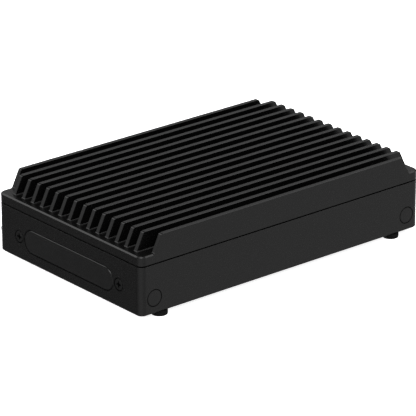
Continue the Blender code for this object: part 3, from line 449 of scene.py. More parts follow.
def powder_coat(name, level, rough, specular, grain_depth=1.0):
    """Matt black powder coat: fine pebbled grain, slightly uneven in tone and in sheen."""
    coat = Finish(name, Specular_IOR_Level=specular, IOR=1.5)
    pebbles = coat.noise(0.55 * MM, 3.0, 0.6)
    cloud = coat.noise(9.0 * MM, 3.0, 0.6)
    grain = coat.noise(0.16 * MM, 1.0, 0.5)
    tone = coat.ramp(pebbles * 0.75 + cloud * 0.25, (0.36, 0.0), (0.64, 1.0))
    colour = coat.blend(tone, grey(level * 0.7), grey(level * 1.35))
    roughness = rough + (pebbles - 0.5) * (0.1 * grain_depth) + (cloud - 0.5) * 0.03
    return coat.paint(colour, roughness, height=pebbles * 0.7 + grain * 0.3, depth=0.02 * MM * grain_depth)


def moulded_plastic(name, level, rough, specular=0.3):
    """Moulded plastic with a fine sparked texture."""
    plastic = Finish(name, Specular_IOR_Level=specular, IOR=1.46)
    spark = plastic.noise(0.25 * MM, 2.0, 0.7)
    cloud = plastic.noise(6.0 * MM)
    colour = plastic.blend(cloud, grey(level * 0.8), grey(level * 1.25))
    roughness = rough + (spark - 0.5) * 0.2
    return plastic.paint(colour, roughness, height=spark, depth=0.02 * MM)


def rubber(name):
    """Soft rubber: dull, dusty in patches."""
    foot = Finish(name, Specular_IOR_Level=0.05)
    dust = foot.ramp(foot.noise(1.6 * MM, 4.0, 0.65), (0.45, 0.0), (0.8, 1.0))
    skin = foot.noise(0.2 * MM)
    colour = foot.blend(dust, grey(0.003), grey(0.007))
    return foot.paint(colour, 0.8 + dust * 0.12, height=skin, depth=0.02 * MM)


def blackened_steel(name):
    """Black oxide on steel, rubbed a little brighter in places."""
    steel = Finish(name, Specular_IOR_Level=0.24)
    rub = steel.ramp(steel.noise(0.8 * MM, 4.0, 0.7), (0.5, 0.0), (0.8, 1.0))
    colour = steel.blend(rub, grey(0.0015), grey(0.006))
    return steel.paint(colour, 0.29 - rub * 0.04, rub * 0.15, rub, 0.003 * MM)


def metal(name, colour, rough, grain, run=(1.0, 1.0, 1.0), depth=0.01 * MM):
    """Bare or plated metal; the grain runs out along the axes with a small `run`."""
    sheet = Finish(name, Metallic=1.0)
    lines = sheet.noise(grain, 3.0, 0.6, sheet.stretched(*run))
    stain = sheet.noise(5.0 * MM, 4.0, 0.6)
    dull = tuple(part * 0.72 for part in colour)
    shade = sheet.blend(stain, (*colour, 1.0), (*dull, 1.0))
    return sheet.paint(shade, rough + (lines - 0.5) * 0.2 + (stain - 0.5) * 0.12, height=lines, depth=depth)


def circuit_board(name, low=None, high=None, chip=grey(0.012), chip_metal=0.0):
    """Solder mask over copper tracks and tinned vias; what lies below `low` or above `high`
    is the chips or the shield on the board."""
    board = Finish(name, Specular_IOR_Level=0.45)
    spot = board.place()
    tracks = board.node("TexWave", {"wave_type": "BANDS", "bands_direction": "DIAGONAL"},
                        {"Vector": spot, "Scale": 260.0, "Distortion": 5.0, "Detail": 1.0}, "Fac")
    copper = board.ramp(tracks, (0.55, 0.0), (0.6, 1.0))
    cells = board.node("TexVoronoi", {}, {"Vector": spot, "Scale": 1.0 / (2.4 * MM)}, "Distance")
    via = board.ramp(cells, (0.1, 1.0), (0.14, 0.0))
    mask = board.blend(copper, (0.004, 0.045, 0.02, 1.0), (0.01, 0.085, 0.038, 1.0))
    colour = board.blend(via, mask, (0.55, 0.52, 0.44, 1.0))
    metallic = via * 0.9
    if high is not None:
        rise = board.node("SeparateXYZ", {}, {0: spot}, "Z")
        above = (rise > high) + (rise < low)
        colour = board.blend(above, colour, chip)
        metallic = metallic * (1.0 - above) + above * chip_metal
    grain = board.noise(0.3 * MM)
    return board.paint(colour, 0.36 + (grain - 0.5) * 0.2, metallic, copper + grain * 0.4, 0.02 * MM)


def clear_plastic(name):
    """Clear moulded plastic with faint flow lines."""
    clear = Finish(name, Transmission_Weight=0.85, IOR=1.49)
    flow = clear.noise(1.5 * MM, 3.0, 0.6, clear.stretched(1.0, 0.2, 1.0))
    colour = clear.blend(flow, (0.8, 0.86, 0.88, 1.0), (0.92, 0.95, 0.96, 1.0))
    return clear.paint(colour, 0.12 + flow * 0.12, height=flow, depth=0.01 * MM)


def silicone_pad(name):
    """Thermal pad: soft silicone with its filler and a faint weave."""
    pad = Finish(name, Specular_IOR_Level=0.25)
    weave = pad.node("TexBrick", {}, {"Vector": pad.place(), "Scale": 1.0 / (2.0 * MM)}, "Fac")
    filler = pad.noise(0.5 * MM, 4.0, 0.7)
    colour = pad.blend(filler, (0.26, 0.29, 0.33, 1.0), (0.4, 0.43, 0.47, 1.0))
    return pad.paint(colour, 0.75 + filler * 0.15, height=filler - weave * 0.5, depth=0.05 * MM)


def cable_sheath(name):
    """Extruded sheath of a thin coaxial lead, scuffed in patches."""
    sheath = Finish(name, Specular_IOR_Level=0.35)
    scuffs = sheath.noise(1.2 * MM, 4.0, 0.7)
    skin = sheath.noise(0.15 * MM)
    colour = sheath.blend(scuffs, grey(0.008), grey(0.024))
    return sheath.paint(colour, 0.5 + (scuffs - 0.5) * 0.3, height=skin, depth=0.01 * MM)


def module_board(name, node, low, high, chip, chip_metal=0.0):
    """Finish of a plug-in module, whose board lies between two heights above its lowest point."""
    bottom = span(node).low.z
    margin = 0.02 * MM
    return circuit_board(name, bottom + low - margin, bottom + high + margin, chip, chip_metal)


FINISHES = {
    "powder_black": powder_coat("powder_black", 0.0015, 0.27, 0.22),
    "plate_black": powder_coat("plate_black", 0.002, 0.25, 0.28, 0.3),
    "plug_black": moulded_plastic("plug_black", 0.002, 0.28, 0.24),
    "screw_black": blackened_steel("screw_black"),
    "screw_steel": metal("screw_steel", (0.55, 0.55, 0.56), 0.34, 0.3 * MM),
    "rubber_black": rubber("rubber_black"),
    "plastic_black": moulded_plastic("plastic_black", 0.012, 0.42),
    "aluminium": metal("aluminium", (0.72, 0.73, 0.74), 0.36, 0.4 * MM, (0.05, 1.0, 1.0)),
    "nickel": metal("nickel", (0.62, 0.61, 0.58), 0.3, 0.5 * MM, (1.0, 0.1, 1.0)),
    "gold": metal("gold", (0.83, 0.6, 0.26), 0.28, 0.4 * MM),
    "board_green": circuit_board("board_green"),
    "plastic_clear": clear_plastic("plastic_clear"),
    "chip_grey": moulded_plastic("chip_grey", 0.05, 0.4, 0.4),
    "pad_grey": silicone_pad("pad_grey"),
    "cable_black": cable_sheath("cable_black"),
}
MODULE_FINISHES = {
    "memory_module": module_board("memory_green", "memory_module", 0.0, 1.2 * MM, grey(0.012)),
    "ssd_module": module_board("storage_green", "ssd_module", 0.8 * MM, 1.6 * MM, grey(0.012)),
    "radio_module": module_board("radio_green", "radio_module", 0.0, 0.8 * MM, grey(0.6), 0.9),
}


# ---------------------------------------------------------------- lid

FIN_COUNT = 16
FIN_THICKNESS = 2.2 * MM
FIN_FOOT_SETBACK = 2.9 * MM
OUTER_FIN_FOOT_SETBACK = 7.8 * MM
FIN_SHIFT = 0.6 * MM              # all fins stand this far to the right of centre
FIN_END_SLOPE = 4.4 * MM
FIN_CORNER_RADIUS = 0.8 * MM
FIN_EDGE = 0.13 * MM
FIN_ROOT_RADIUS = 0.6 * MM
FIN_ROOT_STEPS = 4
FIN_FOOT_FLARE = 0.6              # share of the root radius that also flares along the fin
SCREW_BORE = 1.8 * MM             # round an M3 screw


def fin(low_y, half_length, flare_low):
    """One fin: sloped ends with rounded tops, small chamfers, and a flared root. The flare at
    its low side is left out where the share `flare_low` is 0."""
    high_y = low_y + FIN_THICKNESS
    top = LID.high.z

    def reach(height):
        return half_length + (DECK - height) * FIN_END_SLOPE / FIN_HEIGHT

    root = DECK + FIN_ROOT_RADIUS
    half = reach(root)
    piece = block("fin", (-half, low_y, root), (half, high_y, top))
    editing(piece)
    pick_facing("+Z")
    bpy.ops.transform.resize(value=(reach(top) / half, 1.0, 1.0), center_override=(0.0, 0.0, top))
    pick_facing("-Z")
    old_half, old_low, old_high = half, low_y, high_y
    height = root
    stops = []
    for step in range(1, FIN_ROOT_STEPS + 1):
        angle = math.pi / 2 * step / FIN_ROOT_STEPS
        flare = FIN_ROOT_RADIUS * (1 - math.cos(angle))
        stops.append((root - FIN_ROOT_RADIUS * math.sin(angle), flare))
    stops.append((DECK - 2 * EDGE_CHAMFER, FIN_ROOT_RADIUS))
    for next_height, flare in stops:
        extrude(0.0, 0.0, next_height - height)
        half = reach(next_height) + flare * FIN_FOOT_FLARE
        low, high = low_y - flare * flare_low, high_y + flare
        ratio = (high - low) / (old_high - old_low)
        pivot = (low - old_low * ratio) / (1 - ratio) if abs(ratio - 1) > 1e-9 else 0.0
        bpy.ops.transform.resize(value=(half / old_half, ratio, 1.0),
                                 center_override=(0.0, pivot, next_height))
        old_half, old_low, old_high = half, low, high
        height = next_height
    pick_edges(lambda middle, way: abs(way.y) > ALIGNED and middle.z > DECK + FIN_HEIGHT / 2)
    bevel(FIN_CORNER_RADIUS, 5)
    done()
    soften(piece, FIN_EDGE, 1, 50.0)
    return piece


def heatsink_lid():
    """Deck plate with its fins, tapped from below for the lid screws."""
    depth, height = SEAM_REBATE
    lid = block("finned_lid", LID.low + Vector((0.0, 0.0, height)), (LID.high.x, LID.high.y, DECK))
    round_edges(lid, 2, CORNER_RADIUS)
    chamfer_face(lid, "+Z", EDGE_CHAMFER)
    chamfer_face(lid, "-Z", SEAM_CHAMFER)
    editing(lid)
    pick_facing("-Z")
    bpy.ops.mesh.inset(thickness=depth, depth=0.0)
    extrude(0.0, 0.0, -height)
    done()
    pitch = (LID.size.y - FIN_THICKNESS) / (FIN_COUNT - 1)
    outer = fin(FRONT, END - OUTER_FIN_FOOT_SETBACK, 0)
    inner = fin(FRONT + pitch, END - FIN_FOOT_SETBACK, 1)
    fins = [outer, copied(outer, "fin", half_turn=True), inner]
    for index in range(1, FIN_COUNT - 2):
        fins.append(copied(inner, "fin", (0.0, index * pitch, 0.0)))
    for piece in fins:
        piece.data.transform(Matrix.Translation((FIN_SHIFT, 0.0, 0.0)))
    combine(lid, fins, "UNION")
    tip = span("lid_screw_1").high.z + GAP - LID.low.z + BREAK
    profile = [(SCREW_BORE, 0.0), (SCREW_BORE, tip), (0.2 * MM, tip + MM)]
    combine(lid, uprights(numbered("lid_screw", 4), profile, LID.low.z - BREAK))
    fitted(lid, "powder_black", ["heatsink_lid"])


# ---------------------------------------------------------------- base housing

LIGHT_HEIGHT = span("power_button").middle.z     # the status light is level with the button
POST_HALF_LENGTH = 4.0 * MM
POST_INWARD = 4.5 * MM                           # from the screw's axis to the post's inner face
POST_OUTWARD = 6.0 * MM                          # from the screw's axis into the long wall
FOOT_BORE = 1.7 * MM
BOARD_SCREW_BORE = 1.55 * MM
PLUG_BORE = 4.42 * MM
PLUG_NECK_BORE = 2.9 * MM
COVER_CORNER = 5.0 * MM
COVER_LEDGE = 3.6 * MM
PLATE_HEIGHT = PLATE.size.z - 3.0 * MM
PLATE_LENGTH = 68.2 * MM
PLATE_SLIT = 0.42 * MM


def stadium(name, low, high):
    """Slot-shaped block with round ends, its straight run along Y, facing along X."""
    piece = block(name, low, high)
    round_edges(piece, 0, (high[2] - low[2]) / 2 * 0.9999, 16)
    return piece


def base_housing():
    """Open box: rounded walls, screw posts, standoffs, and every hole the fittings need."""
    base = block("base_shell", BASE.low, BASE.high)
    round_edges(base, 2, CORNER_RADIUS)
    chamfer_face(base, "-Z", EDGE_CHAMFER)
    chamfer_face(base, "+Z", SEAM_CHAMFER)
    editing(base)
    pick_facing("+Z")
    bpy.ops.mesh.inset(thickness=WALL - SEAM_CHAMFER, depth=0.0)
    extrude(0.0, 0.0, FLOOR_TOP - SEAM)
    done()
    combine(base, posts() + standoffs(), "UNION")
    for group in (floor_holes(), cover_holes(), end_windows(), plug_holes(), back_holes()):
        combine(base, group)
    fitted(base, "powder_black", ["base_housing"])


def posts():
    """Four posts against the long walls, under the lid screws."""
    made = []
    for node in numbered("lid_screw", 4):
        middle = span(node).middle
        side = math.copysign(1.0, middle.y - MIDDLE_Y)
        ys = sorted((middle.y - side * POST_INWARD, middle.y + side * POST_OUTWARD))
        made.append(block("post", (middle.x - POST_HALF_LENGTH, ys[0], FLOOR_TOP - BREAK),
                          (middle.x + POST_HALF_LENGTH, ys[1], SEAM - GAP)))
    return made


def standoffs():
    """Round standoffs under the board."""
    rise = span("mainboard").low.z - GAP - FLOOR_TOP
    profile = [(3.0 * MM, 0.0), (3.0 * MM, rise + 0.8 * MM), (2.8 * MM, rise + BREAK)]
    return uprights(numbered("board_screw", 4), profile, FLOOR_TOP - BREAK, 32)


def floor_holes():
    """Counterbores for the lid screws, sockets for the feet, threads for the board screws."""
    head = rings((3.4, -1.0), (3.4, -0.01), (3.05, 0.35), (3.05, 3.0), (1.8, 3.0))
    shank = [(SCREW_BORE, SEAM - UNDERSIDE + BREAK)]
    made = uprights(numbered("lid_screw", 4), head + shank, UNDERSIDE, 40)
    foot_top = span("rubber_foot_1").high.z - UNDERSIDE
    profile = [(FOOT_BORE, -BREAK), (FOOT_BORE, foot_top + GAP)]
    made += uprights(numbered("rubber_foot", 4), profile, UNDERSIDE)
    profile = [(BOARD_SCREW_BORE, 1.5 * MM), (BOARD_SCREW_BORE, 10.0 * MM)]
    return made + uprights(numbered("board_screw", 4), profile, UNDERSIDE)


def cover_holes():
    """Recess and opening for the service cover, with tapped holes in the ledge."""
    cover = span("service_cover")
    low = cover.low - Vector((GAP, GAP, BREAK))
    high = cover.high + Vector((GAP, GAP, GAP))
    recess = block("recess", low, high)
    round_edges(recess, 2, COVER_CORNER, 8)
    opening = block("opening", (low.x + COVER_LEDGE, low.y + COVER_LEDGE, high.z - 0.5 * MM),
                    (high.x - COVER_LEDGE, high.y - COVER_LEDGE, FLOOR_TOP + BREAK))
    round_edges(opening, 2, COVER_CORNER, 8)
    combine(recess, [opening], "UNION")
    tapped = rings((1.3, 0.5), (1.3, 5.0))
    combine(recess, uprights(numbered("service_cover_screw", 4), tapped, UNDERSIDE), "UNION")
    return [recess]


def end_windows():
    """Slots in both end walls for the blanking plates, and countersinks for their screws."""
    made = []
    half_y = PLATE_LENGTH / 2 + PLATE_SLIT
    half_z = PLATE_HEIGHT / 2 + PLATE_SLIT
    for side in (-1, 1):
        xs = sorted((side * (END + BREAK), side * (END - WALL - BREAK)))
        made.append(stadium("window", (xs[0], MIDDLE_Y - half_y, PLATE.middle.z - half_z),
                            (xs[1], MIDDLE_Y + half_y, PLATE.middle.z + half_z)))
    profile = rings((3.35, -1.0), (3.35, 1.7), (1.8, 2.3)) + [(SCREW_BORE, WALL + BREAK)]
    for node in numbered("end_plate_screw", 4):
        middle = span(node).middle
        side = math.copysign(1.0, middle.x)
        inward = "-X" if side > 0 else "+X"
        made.append(turned("hole", profile, (side * END, middle.y, middle.z), inward))
    return made


def plug_holes():
    """Stepped holes for the plugs in the plain long side."""
    made = []
    for node in ("side_plug_left", "side_plug_right"):
        middle = span(node).middle
        profile = [(PLUG_BORE, -BREAK), (PLUG_BORE, 1.7 * MM),
                   (PLUG_NECK_BORE, 1.7 * MM), (PLUG_NECK_BORE, WALL + BREAK)]
        made.append(turned("hole", profile, (middle.x, FRONT, middle.z), "+Y", 64))
    return made


def back_holes():
    """Openings in the connector side."""
    made = []
    for node in ("dc_jack", "video_port", "usb_stack_1", "lan_jack", "usb_stack_2"):
        part = span(node)
        made.append(block("opening", (part.low.x - GAP, BACK - WALL - BREAK, part.low.z - GAP),
                          (part.high.x + GAP, BACK + BREAK, part.high.z + GAP)))
    for node, radius in (("power_button", 4.3), ("status_light_pipe", 1.8),
                         ("antenna_connector_1", 3.4), ("antenna_connector_2", 3.4)):
        middle = span(node).middle
        height = LIGHT_HEIGHT if node == "status_light_pipe" else middle.z
        profile = [(radius * MM, -BREAK), (radius * MM, WALL + BREAK)]
        made.append(turned("hole", profile, (middle.x, BACK, height), "-Y", 40))
    return made


# ---------------------------------------------------------------- end plates, screws, plugs, feet

def end_plates():
    """Blanking plates: a slot-shaped panel through the wall on a wider flange behind it."""
    half_y = PLATE_LENGTH / 2
    half_z = PLATE_HEIGHT / 2
    seat = -END + WALL + GAP
    left = stadium("blanking_plate_left", (-END, MIDDLE_Y - half_y, PLATE.middle.z - half_z),
                   (seat + BREAK, MIDDLE_Y + half_y, PLATE.middle.z + half_z))
    chamfer_face(left, "-X", 0.14 * MM)
    flange = stadium("flange", (seat, PLATE.low.y, PLATE.low.z), tuple(PLATE.high))
    combine(left, [flange], "UNION")
    tapped = []
    for node in numbered("end_plate_screw", 2):
        middle = span(node).middle
        place = (seat - BREAK, middle.y, middle.z)
        tapped.append(turned("hole", rings((1.7, 0.0), (1.7, 8.0)), place, "+X", 24))
    combine(left, tapped)
    right = copied(left, "blanking_plate_right", half_turn=True)
    fitted(left, "plate_black", ["end_plate_left"])
    fitted(right, "plate_black", ["end_plate_right"])


CROSS_WIDTH = 0.55                # of a recess's arms, as a share of their length
CROSS_TAPER = 0.9


def cross_cutter(place, way, arm, depth):
    """Cross-shaped tool that tapers to its tip, for a cross recess."""
    half = arm * CROSS_WIDTH / 2
    cutter = block("cross", (-half, -half, -BREAK), (half, half, depth))
    editing(cutter)
    pick_faces(lambda middle, normal: abs(normal.z) < 0.1)
    bpy.ops.mesh.extrude_faces_move(TRANSFORM_OT_shrink_fatten={"value": arm - half})
    pick_facing("+Z")
    bpy.ops.transform.resize(value=(CROSS_TAPER, CROSS_TAPER, 1.0), center_override=(0.0, 0.0, depth))
    bpy.ops.mesh.select_all(action="SELECT")
    bpy.ops.mesh.normals_make_consistent(inside=False)
    done()
    chosen(cutter)
    return settled("cross", TURNS[way], place)


def screw(name, profile, place, way, arm, depth):
    """Screw turned from its head's face inwards, with a cross recess."""
    made = turned(name, profile, place, way)
    combine(made, [cross_cutter(place, way, arm, depth)])
    return made


def countersunk(head, shank, head_height, length):
    """Profile of a countersunk screw from its face."""
    return [(head * 0.97, 0.0), (head, 0.06 * MM), (head, head_height * 0.55), (shank, head_height),
            (shank, length - 0.4 * MM), (shank * 0.6, length)]


def capped(head, shank, head_height, length):
    """Profile of a pan-headed screw from its face."""
    return [(head * 0.6, 0.0), (head * 0.85, 0.12 * MM), (head * 0.97, 0.4 * MM), (head, 0.7 * MM),
            (head, head_height), (shank, head_height), (shank, length - 0.4 * MM), (shank * 0.6, length)]


END_SCREW_SET = 0.02 * MM         # how far the end screws' heads lie below the wall's face


def end_screws():
    """Countersunk screws in the end walls."""
    middle = span("end_plate_screw_1").middle
    profile = countersunk(2.8 * MM, 1.5 * MM, 1.7 * MM, span("end_plate_screw_1").size.x)
    place = (END_SCREW_SET - END, middle.y, middle.z)
    first = screw("end_screw_1", profile, place, "+X", 1.7 * MM, 1.7 * MM)
    second = copied(first, "end_screw_2", (0.0, span("end_plate_screw_2").middle.y - middle.y, 0.0))
    third = copied(second, "end_screw_3", half_turn=True)
    fourth = copied(first, "end_screw_4", half_turn=True)
    for count, piece in enumerate((first, second, third, fourth), 1):
        fitted(piece, "screw_black", [f"end_plate_screw_{count}"])


def floor_screws(kind, style, head, shank, height, arm):
    """Screws of one kind in the underside."""
    first = span(kind + "_1")
    profile = style(head, shank, height, first.size.z)
    place = (first.middle.x, first.middle.y, first.low.z)
    pieces = [screw(kind + "_fitted_1", profile, place, "+Z", arm, 0.8 * MM)]
    for count in range(2, 5):
        shift = span(f"{kind}_{count}").middle - first.middle
        pieces.append(copied(pieces[0], f"{kind}_fitted_{count}", shift))
    for count, piece in enumerate(pieces, 1):
        fitted(piece, "screw_black", [f"{kind}_{count}"])


def side_plugs():
    """Flush round plugs with a softened rim, barbed behind the wall."""
    plug = span("side_plug_left")
    profile = rings((0.6, 0.0), (3.86, 0.0), (3.97, 0.04), (4.0, 0.12), (4.0, 1.4),
                    (2.6, 1.4), (2.6, 3.3), (3.4, 3.3), (2.6, 4.5))
    left = turned("plug_left", profile, (plug.middle.x, FRONT, plug.middle.z), "+Y", 64)
    right = copied(left, "plug_right", span("side_plug_right").middle - plug.middle)
    fitted(left, "plug_black", ["side_plug_left"])
    fitted(right, "plug_black", ["side_plug_right"])


def rubber_feet():
    """Round feet, slightly tapered, with a hollow in the sole."""
    foot = span("rubber_foot_1")
    top = UNDERSIDE - GAP
    profile = rings((1.2, 0.5), (2.0, 0.45), (2.4, 0.0), (3.75, 0.0), (3.88, 0.05), (3.95, 0.2), (4.0, 0.6))
    profile += [(4.0 * MM, top), (1.4 * MM, top), (1.4 * MM, foot.high.z - 0.2 * MM), (1.1 * MM, foot.high.z)]
    first = turned("foot_1", profile, (foot.middle.x, foot.middle.y, 0.0))
    feet = [first]
    for count in range(2, 5):
        feet.append(copied(first, f"foot_{count}", span(f"rubber_foot_{count}").middle - foot.middle))
    for count, piece in enumerate(feet, 1):
        fitted(piece, "rubber_black", [f"rubber_foot_{count}"])


def service_cover():
    """Flat cover in the floor with four countersinks."""
    cover = span("service_cover")
    piece = block("floor_cover", cover.low, cover.high)
    round_edges(piece, 2, COVER_CORNER, 8)
    chamfer_face(piece, "-Z", 0.2 * MM)
    countersink = rings((2.1, -1.0), (2.1, 0.3), (1.15, 1.25), (1.15, 3.0))
    combine(piece, uprights(numbered("service_cover_screw", 4), countersink, UNDERSIDE, 32))
    fitted(piece, "plate_black", ["service_cover"])


# ---------------------------------------------------------------- connector side

SOCKET_FACE = span("dc_jack").high.y


def upright(name, x, z, size, depth, face=SOCKET_FACE):
    """Block that runs in from a face: its middle, its width and height, and its depth."""
    half_x, half_z = size[0] / 2, size[1] / 2
    return block(name, (x - half_x, face - depth, z - half_z), (x + half_x, face, z + half_z))


def hollow(piece, wall, depth):
    """Opens a piece's face into a cavity, leaving walls of a thickness."""
    editing(piece)
    pick_facing("+Y")
    bpy.ops.mesh.inset(thickness=wall, depth=0.0)
    extrude(0.0, -depth, 0.0)
    done()


def slanted(piece, rise):
    """Raises the inner end of a thin strip."""
    editing(piece)
    pick_facing("-Y")
    bpy.ops.transform.translate(value=(0.0, 0.0, rise))
    done()
    return piece


def mouth(x, z, size, depth, flare=0.3 * MM):
    """Cutter for a socket's opening, widened toward the face."""
    cutter = upright("mouth", x, z, size, depth - flare, SOCKET_FACE - flare)
    ratio = (1 + 2 * flare / size[0], 1.0, 1 + 2 * flare / size[1])
    editing(cutter)
    pick_facing("+Y")
    extrude(0.0, flare, 0.0)
    bpy.ops.transform.resize(value=ratio, center_override=(x, SOCKET_FACE, z))
    extrude(0.0, BREAK, 0.0)
    done()
    return cutter


def row_of(name, strip, count, pitch):
    """A strip repeated along X, evenly round its own place, as one piece."""
    first = (1 - count) * pitch / 2
    strips = [copied(strip, name, (first + index * pitch, 0.0, 0.0)) for index in range(count)]
    bpy.data.objects.remove(strip)
    return joined(name, strips)


def power_inlet():
    """Moulded inlet with a flared bore, its centre pin and the spring that grips the plug."""
    part = span("dc_jack")
    x, z = part.middle.x, part.middle.z
    body = upright("power_inlet_body", x, z, (part.size.x, part.size.z), part.size.y)
    round_edges(body, 1, 0.6 * MM, 4)
    chamfer_face(body, "+Y", 0.25 * MM)
    profile = rings((3.75, -1.0), (3.75, 0.0), (3.2, 0.6), (3.2, 10.0))
    combine(body, [turned("bore", profile, (x, SOCKET_FACE, z), "-Y")])
    fitted(body, "plastic_black", ["dc_jack"])
    profile = rings((0.5, 1.2), (0.9, 1.3), (1.05, 1.7), (1.05, 10.2))
    pin = turned("power_inlet_pin", profile, (x, SOCKET_FACE, z), "-Y", 24)
    fitted(pin, "nickel")
    spring = upright("power_inlet_spring", x, z - 2.95 * MM, (1.8 * MM, 0.25 * MM), 8.0 * MM,
                     SOCKET_FACE - MM)
    slanted(spring, 1.1 * MM)
    soften(spring, 0.05 * MM, 1)
    fitted(spring, "nickel")


def video_socket():
    """Display socket: keyed shell, its insulator and two rows of contacts."""
    part = span("video_port")
    x, z = part.middle.x, part.middle.z
    shell = upright("video_shell", x, z, (part.size.x, part.size.z), part.size.y)
    round_edges(shell, 1, 1.5 * MM, 1, lambda middle: middle.z < z)
    round_edges(shell, 1, 0.45 * MM, 4)
    hollow(shell, 0.45 * MM, 9.0 * MM)
    soften(shell, 0.08 * MM, 2)
    fitted(shell, "nickel", ["video_port"])
    insulator = upright("video_insulator", x, z + 0.2 * MM, (12.6 * MM, 4.2 * MM), 0.9 * MM,
                        SOCKET_FACE - 8.05 * MM)
    blade_z = z + 0.5 * MM
    blade = upright("blade", x, blade_z, (10.4 * MM, 1.3 * MM), 7.4 * MM, SOCKET_FACE - 1.2 * MM)
    chamfer_face(blade, "+Y", 0.25 * MM)
    combine(insulator, [blade], "UNION")
    fitted(insulator, "plastic_black")
    for name, count, side in (("video_contacts_top", 10, 1), ("video_contacts_bottom", 9, -1)):
        height = blade_z + side * 0.66 * MM
        strip = upright(name, x, height, (0.4 * MM, 0.12 * MM), 5.5 * MM, SOCKET_FACE - 1.6 * MM)
        soften(strip, 0.02 * MM, 1)
        fitted(row_of(name, strip, count, 1.0 * MM), "nickel", finish="gold")


def serial_sockets():
    """Two double sockets: shell with flared mouths, grip springs, blades and contacts."""
    part = span("usb_stack_1")
    x, z = part.middle.x, part.middle.z
    levels = (part.low.z + 3.9 * MM, part.low.z + 11.3 * MM)
    shell = upright("serial_shell_1", x, z, (part.size.x, part.size.z), part.size.y)
    round_edges(shell, 1, 0.5 * MM, 4)
    combine(shell, [mouth(x, level, (13.0 * MM, 5.4 * MM), 13.0 * MM) for level in levels])
    soften(shell, 0.06 * MM, 1)
    blades, springs, rows = [], [], []
    for level in levels:
        root = upright("root", x, level, (12.9 * MM, 5.3 * MM), 0.9 * MM, SOCKET_FACE - 12.2 * MM)
        blade_z = level + 0.9 * MM
        blade = upright("blade", x, blade_z, (11.0 * MM, 1.8 * MM), 11.5 * MM, SOCKET_FACE - 1.2 * MM)
        chamfer_face(blade, "+Y", 0.35 * MM)
        combine(root, [blade], "UNION")
        blades.append(root)
        for side in (-1, 1):
            spring = upright("spring", x, level + side * 2.6 * MM, (2.2 * MM, 0.2 * MM), 7.0 * MM,
                             SOCKET_FACE - 0.9 * MM)
            slanted(spring, -side * 0.55 * MM)
            soften(spring, 0.04 * MM, 1)
            springs.append(row_of("springs", spring, 2, 6.0 * MM))
        strip = upright("strip", x, blade_z - 0.93 * MM, (1.1 * MM, 0.14 * MM), 8.0 * MM,
                        SOCKET_FACE - 2.0 * MM)
        soften(strip, 0.03 * MM, 1)
        rows.append(row_of("contacts", strip, 4, 2.4 * MM))
    first = [shell, joined("serial_blades_1", blades), joined("serial_springs_1", springs),
             joined("serial_contacts_1", rows)]
    shift = (span("usb_stack_2").middle.x - x, 0.0, 0.0)
    second = [copied(piece, piece.name[:-1] + "2", shift) for piece in first]
    for count, pieces in enumerate((first, second), 1):
        fitted(pieces[0], "nickel", [f"usb_stack_{count}"])
        fitted(pieces[1], "plastic_black")
        fitted(pieces[2], "nickel")
        fitted(pieces[3], "nickel", finish="gold")


def network_socket():
    """Network socket: shell, moulded insert with the latch's step, contacts and two lights."""
    part = span("lan_jack")
    x, z = part.middle.x, part.middle.z
    rim = 0.5 * MM
    shell = upright("network_shell", x, z, (part.size.x, part.size.z), part.size.y)
    round_edges(shell, 1, 0.4 * MM, 4)
    hollow(shell, rim, 15.0 * MM)
    soften(shell, 0.08 * MM, 1)
    fitted(shell, "nickel", ["lan_jack"])
    face = SOCKET_FACE - 0.35 * MM
    size = (part.size.x - 2 * rim - 0.1 * MM, part.size.z - 2 * rim - 0.1 * MM)
    insert = upright("network_insert", x, z, size, 14.6 * MM, face)
    for width, low, high in ((11.8, -5.4, 1.9), (6.2, -5.3, 3.6), (3.2, -5.2, 5.2)):
        step = upright("step", x, z + (low + high) / 2 * MM, (width * MM, (high - low) * MM), 15.0 * MM,
                       face + BREAK)
        combine(insert, [step])
    lights = []
    for side in (-1, 1):
        place = (x + side * 5.2 * MM, z + 4.3 * MM)
        combine(insert, [upright("window", *place, (2.9 * MM, 2.3 * MM), 2.5 * MM, face + BREAK)])
        light = upright("light", *place, (2.8 * MM, 2.2 * MM), 1.5 * MM, face + 0.05 * MM)
        soften(light, 0.15 * MM, 2)
        lights.append(light)
    soften(insert, 0.08 * MM, 1)
    fitted(insert, "plastic_black")
    fitted(joined("network_lights", lights), "plastic_clear")
    wire = upright("network_contacts", x, z - 4.6 * MM, (0.4 * MM, 0.25 * MM), 8.0 * MM,
                   SOCKET_FACE - 2.5 * MM)
    slanted(wire, 2.6 * MM)
    soften(wire, 0.05 * MM, 1)
    fitted(row_of("network_contacts", wire, 8, 1.02 * MM), "nickel", finish="gold")


def power_button():
    """Round button with a shallow dish and a softened rim, flanged behind the wall."""
    part = span("power_button")
    place = (part.middle.x, part.high.y, part.middle.z)
    end = part.size.y
    flange = (end - 3.0 * MM, end - 2.0 * MM)
    profile = rings((0.6, 0.3), (1.6, 0.26), (2.6, 0.15), (3.3, 0.0), (3.7, 0.04), (3.92, 0.16), (4.0, 0.4))
    profile += [(4.0 * MM, flange[0]), (5.0 * MM, flange[0]), (5.0 * MM, flange[1]),
                (1.5 * MM, flange[1]), (1.5 * MM, end)]
    button = turned("round_button", profile, place, "-Y")
    fitted(button, "plug_black", ["power_button"], "power_button", "plate_black")


def light_window():
    """Status light: clear pipe with a domed end, on a leg that stands on the board."""
    part = span("status_light_pipe")
    profile = rings((0.3, 0.0), (0.8, 0.08), (1.2, 0.26), (1.45, 0.6), (1.5, 0.9), (1.5, 5.0))
    pipe = turned("status_light", profile, (part.middle.x, part.high.y, LIGHT_HEIGHT), "-Y", 32)
    leg = block("leg", part.low, (part.high.x, part.low.y + 3.5 * MM, part.high.z))
    round_edges(leg, 2, 0.4 * MM, 3)
    combine(pipe, [leg], "UNION")
    fitted(pipe, "plastic_clear", ["status_light_pipe"])


